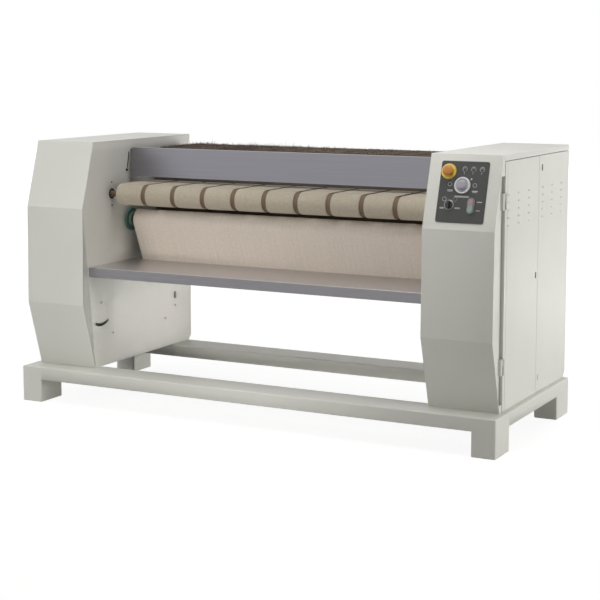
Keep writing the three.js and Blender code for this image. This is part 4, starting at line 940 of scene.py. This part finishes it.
# Right, up and radius in millimetres, and the ink.
rings = [(-51.5, 27.8, 8, print_grey), (44.2, 26, 8, print_grey), (-66, -27.8, 8.5, print_grey),
         (-25, -27.8, 8.5, print_green)]
for number, (right, up, radius, ink) in enumerate(rings, 1):
    ring_mark(f"panel_ring_{number}", (right, up), radius, ink)
for number, (right, up) in enumerate(PILOTS_AT, 1):
    ring_mark(f"lamp_ring_{number}", (right, up), 9.5, print_grey)
    slab(f"lamp_tail_{number}", oval((right - 1, up - 15), 2.6, 8, 24), print_grey)
slab("dial_index", oval((28.6, 48.4), 7, 7, 24), print_white)
slab("button_bezel", oval(BUTTONS_AT, 26.6, 58.6), grey_shell, oval(BUTTONS_AT, 21.6, 53.6),
     2.32, 7.0)
print("printed", len(bars), "bars and", len(rings) + len(PILOTS_AT), "rings")

# %% [markdown]
# ## Flange bearings
#
# The apron's front roller turns in two cast flange bearings, enamelled green. A casting has
# generous rounds, so its profile is eased more than a turned one.

# %% Flange bearings
CASTING_EASE = 2.4 * MM
BEARING_PROFILE = [(0, 12.6), (26, 12.6), (26, 25), (17, 30), (16.4, 48), (9, 48), (8.4, 34),
                   (0, 34), (0, 12.6)]
for side, node_name in ((-1, "apron_bearing_left"), (1, "apron_bearing_right")):
    low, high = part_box(node_name)
    face = low.x if side < 0 else high.x
    y, z = axis_of(node_name)[:2]
    casting = turned(node_name + "_cast", np.array(BEARING_PROFILE) * MM, (face, y, z),
                     (-side, 0, 0), green_enamel, "frame", CASTING_EASE)
    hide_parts(node_name)
print("bearings cast")

# %% [markdown]
# ## Small parts on the side plates
#
# The feed roller's bearings show as a dark ring with a screw above and one below. A black
# rubber strip and a pin stop the finger guard at each end. All stand on the plate that
# carries them.

# %% Bearing rings, screws and guard stops
# The profiles and the strip are in millimetres.
PLATE_FACE = -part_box("left_side_plate")[1].x
RING_PROFILE = [(0, 15), (1.6, 15), (1.6, 21), (0, 21), (0, 15)]
SCREW_PROFILE = [(-0.5, 0), (-0.5, 3.4), (1.8, 3.4), (2.4, 2.2), (2.4, 0)]
PIN_PROFILE = [(-0.5, 0), (-0.5, 5.6), (5, 5.6), (5.8, 4.6), (5.8, 0)]
SCREW_RISE = 48 * MM
PIN_AT = (-82.1 * MM, 956.8 * MM)
STRIP_ENDS = (-76.7, 967.0), (-63.1, 1030.3)
STRIP_HALF = 2.4
STRIP_THICK = 1.8


def on_plate(name, profile, side, y, z, sides=32):
    """A turned part on a side plate's inner face, its axis across the machine."""
    turned(name, np.array(profile) * MM, (side * PLATE_FACE, y, z), (-side, 0, 0), dark_bolt,
           "frame", 0.4 * MM, sides)


def stop_strip(name, side):
    """A straight strip between two points (y, z): two half circles, made a thin plate."""
    (y0, z0), (y1, z1) = STRIP_ENDS
    lean = math.atan2(z1 - z0, y1 - y0)
    half = np.linspace(-math.pi / 2, math.pi / 2, 9)
    around = lean + np.concatenate([half, half + math.pi])
    centre = np.repeat([[y1, z1], [y0, z0]], len(half), 0)
    outline = centre + STRIP_HALF * np.stack([np.cos(around), np.sin(around)], 1)
    planes = [side * (PLATE_FACE / MM - level) for level in (0, STRIP_THICK)]
    rings = [np.column_stack([np.full(len(outline), x), outline]) for x in planes]
    grid_piece(name, np.array(rings) * MM, black_shell, "frame", close_columns=True,
               caps=True)


feed_y, feed_z = wheel["feed_roller_front"][:2]
for side, end in ((-1, "left"), (1, "right")):
    on_plate(f"feed_bearing_ring_{end}", RING_PROFILE, side, feed_y, feed_z, 48)
    for place, rise in (("low", -SCREW_RISE), ("high", SCREW_RISE)):
        on_plate(f"feed_bearing_screw_{place}_{end}", SCREW_PROFILE, side, feed_y, feed_z + rise)
    on_plate(f"guard_stop_pin_{end}", PIN_PROFILE, side, *PIN_AT)
    stop_strip(f"guard_stop_strip_{end}", side)
print("side plates fitted")

# %% [markdown]
# ## Drum
#
# The drum is a rolled steel shell, browned by scorched starch. The frame's drum is a
# forty-sided prism with its pulley, so a turned one with the same profile stands for it.

# %% Drum
low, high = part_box("heating_drum")
DRUM_END, DRUM_BORE = 706 * MM, 159 * MM
HEAD, SHAFT = 678 * MM, 35 * MM
SHAFT_BORE_END, SHAFT_BORE = 700 * MM, 14 * MM
PULLEY_OUT, GROOVE_OUT, GROOVE_IN, PULLEY_IN = -883 * MM, -877 * MM, -863 * MM, -857 * MM
RIM, GROOVE = 120 * MM, 107 * MM
drum_profile = [
    (low.x, 0), (low.x, SHAFT), (PULLEY_OUT, SHAFT), (PULLEY_OUT, RIM), (GROOVE_OUT, RIM),
    (GROOVE_OUT, GROOVE), (GROOVE_IN, GROOVE), (GROOVE_IN, RIM), (PULLEY_IN, RIM),
    (PULLEY_IN, SHAFT), (-HEAD, SHAFT), (-HEAD, DRUM_BORE), (-DRUM_END, DRUM_BORE),
    (-DRUM_END, DRUM_RADIUS), (DRUM_END, DRUM_RADIUS), (DRUM_END, DRUM_BORE), (HEAD, DRUM_BORE),
    (HEAD, SHAFT), (high.x, SHAFT), (high.x, SHAFT_BORE), (SHAFT_BORE_END, SHAFT_BORE),
    (SHAFT_BORE_END, 0),
]
drum = turned("heating_drum_turned", drum_profile, (0, drum_y, drum_z), (1, 0, 0), turned_steel,
              "drum", sides=128)
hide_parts("heating_drum")
print("drum turned")

# %% [markdown]
# ## Floor and light
#
# The floor is pale and plain, and fades into the white behind the machine a few metres out.
# Softboxes stand all round. Four have grids: front left, front, panel and low front. The
# first two keep off the right casing, so its front falls into shade. The panel's lifts the
# door's upper facet. The low one and the rear one reach the left side plate. Mirror-like
# surfaces don't see these five, which would show as hard patches. The white is only what
# camera and glossy rays see of the world. The light that it adds is weak.

# %% Floor
FLOOR_HALF = 14.0
SHADOW_REACH = (2.2, 5.0)
NEAR_WHITE = 0.78
FLOOR_GLOW = 1.17


def floor_plane():
    """A flat square at floor height: pale paint to the light, and nearly white to the camera."""
    square = [(-1, -1), (1, -1), (1, 1), (-1, 1)]
    mesh = bpy.data.meshes.new("floor")
    mesh.from_pydata([(x * FLOOR_HALF, y * FLOOR_HALF, 0) for x, y in square], [], [(0, 1, 2, 3)])
    made, tree, shader = material("pale_floor_paint", Base_Color=linear("#dededc"), Roughness=0.9)
    distance = add(tree, "VectorMath", {"operation": "LENGTH"}, links={0: pattern_place(tree)},
                   output="Value")
    reach = {"From Min": SHADOW_REACH[0], "From Max": SHADOW_REACH[1], "To Min": NEAR_WHITE}
    white = add(tree, "MapRange", {"interpolation_type": "SMOOTHSTEP"}, reach, {"Value": distance})
    seen = add(tree, "LightPath", output="Is Camera Ray")
    amount = add(tree, "Math", {"operation": "MULTIPLY"}, links={0: seen, 1: white})
    glow = add(tree, "Emission", values={"Color": (1, 1, 1, 1), "Strength": FLOOR_GLOW})
    add(tree, "MixShader", links={0: amount, 1: shader.outputs[0], 2: glow},
        feeds=tree.nodes["Material Output"].inputs["Surface"])
    mesh.materials.append(made)
    floor = put_in_scene("floor", mesh)


floor_plane()
print("floor laid, white beyond", SHADOW_REACH[1], "m")

# %% World and lamps
ROOM_LIGHT = 0.07


def soft_lamp(name, place, aim, size, power, beam=180, mirrored=True):
    """A square lamp that faces the point it lights. A grid narrows its beam."""
    data = bpy.data.lights.new(name, "AREA")
    data.energy = power
    data.size = size
    data.spread = math.radians(beam)
    lamp = put_in_scene(name, data)
    lamp.location = place
    lamp.rotation_euler = (Vector(aim) - Vector(place)).to_track_quat("-Z", "Y").to_euler()
    lamp.visible_glossy = mirrored


world = bpy.data.worlds.new("studio")
world.use_nodes = True
bpy.context.scene.world = world
tree = world.node_tree
background = tree.nodes["Background"]
background.inputs["Color"].default_value = (1, 1, 1, 1)
seen = add(tree, "LightPath", output="Is Camera Ray")
glossy = add(tree, "LightPath", output="Is Glossy Ray")
either = add(tree, "Math", {"operation": "MAXIMUM"}, links={0: seen, 1: glossy})
add(tree, "MapRange", values={"To Min": ROOM_LIGHT}, links={"Value": either},
    feeds=background.inputs["Strength"])
# Place, aim and size in metres, power in watts, a grid's beam in degrees.
soft_lamp("front_left_softbox", (-1.3, -2.9, 1.1), (-0.7, -0.3, 0.6), 1.1, 4.8, 75, mirrored=False)
soft_lamp("front_softbox", (0.1, -2.9, 1.0), (0.15, -0.3, 0.7), 0.8, 0.9, 45, mirrored=False)
soft_lamp("right_softbox", (4.6, -0.4, 1.2), (1.0, 0.0, 0.6), 1.8, 45)
soft_lamp("low_right_softbox", (4.6, -0.5, 0.25), (0.9, 0.0, 0.35), 0.9, 26)
soft_lamp("panel_softbox", (0.3, -1.9, 2.6), (0.84, -0.35, 1.08), 0.4, 0.23, 20, mirrored=False)
soft_lamp("low_front_softbox", (3.4, -2.7, 0.3), (-0.74, 0.08, 0.38), 0.3, 0.3, 9, mirrored=False)
soft_lamp("overhead_softbox", (0.35, -0.85, 4.0), (0.2, -0.2, 0.6), 2.0, 64)
soft_lamp("high_left_softbox", (-3.8, -2.2, 3.2), (-0.7, 0.0, 0.7), 1.8, 28)
soft_lamp("left_softbox", (-4.6, 0.9, 1.6), (-1.0, 0.0, 0.7), 1.8, 35)
soft_lamp("rear_softbox", (1.9, 3.6, 0.6), (-0.74, 0.0, 0.35), 1.2, 100, mirrored=False)
print("lit by the room at", ROOM_LIGHT, "and", len(bpy.data.lights), "softboxes")
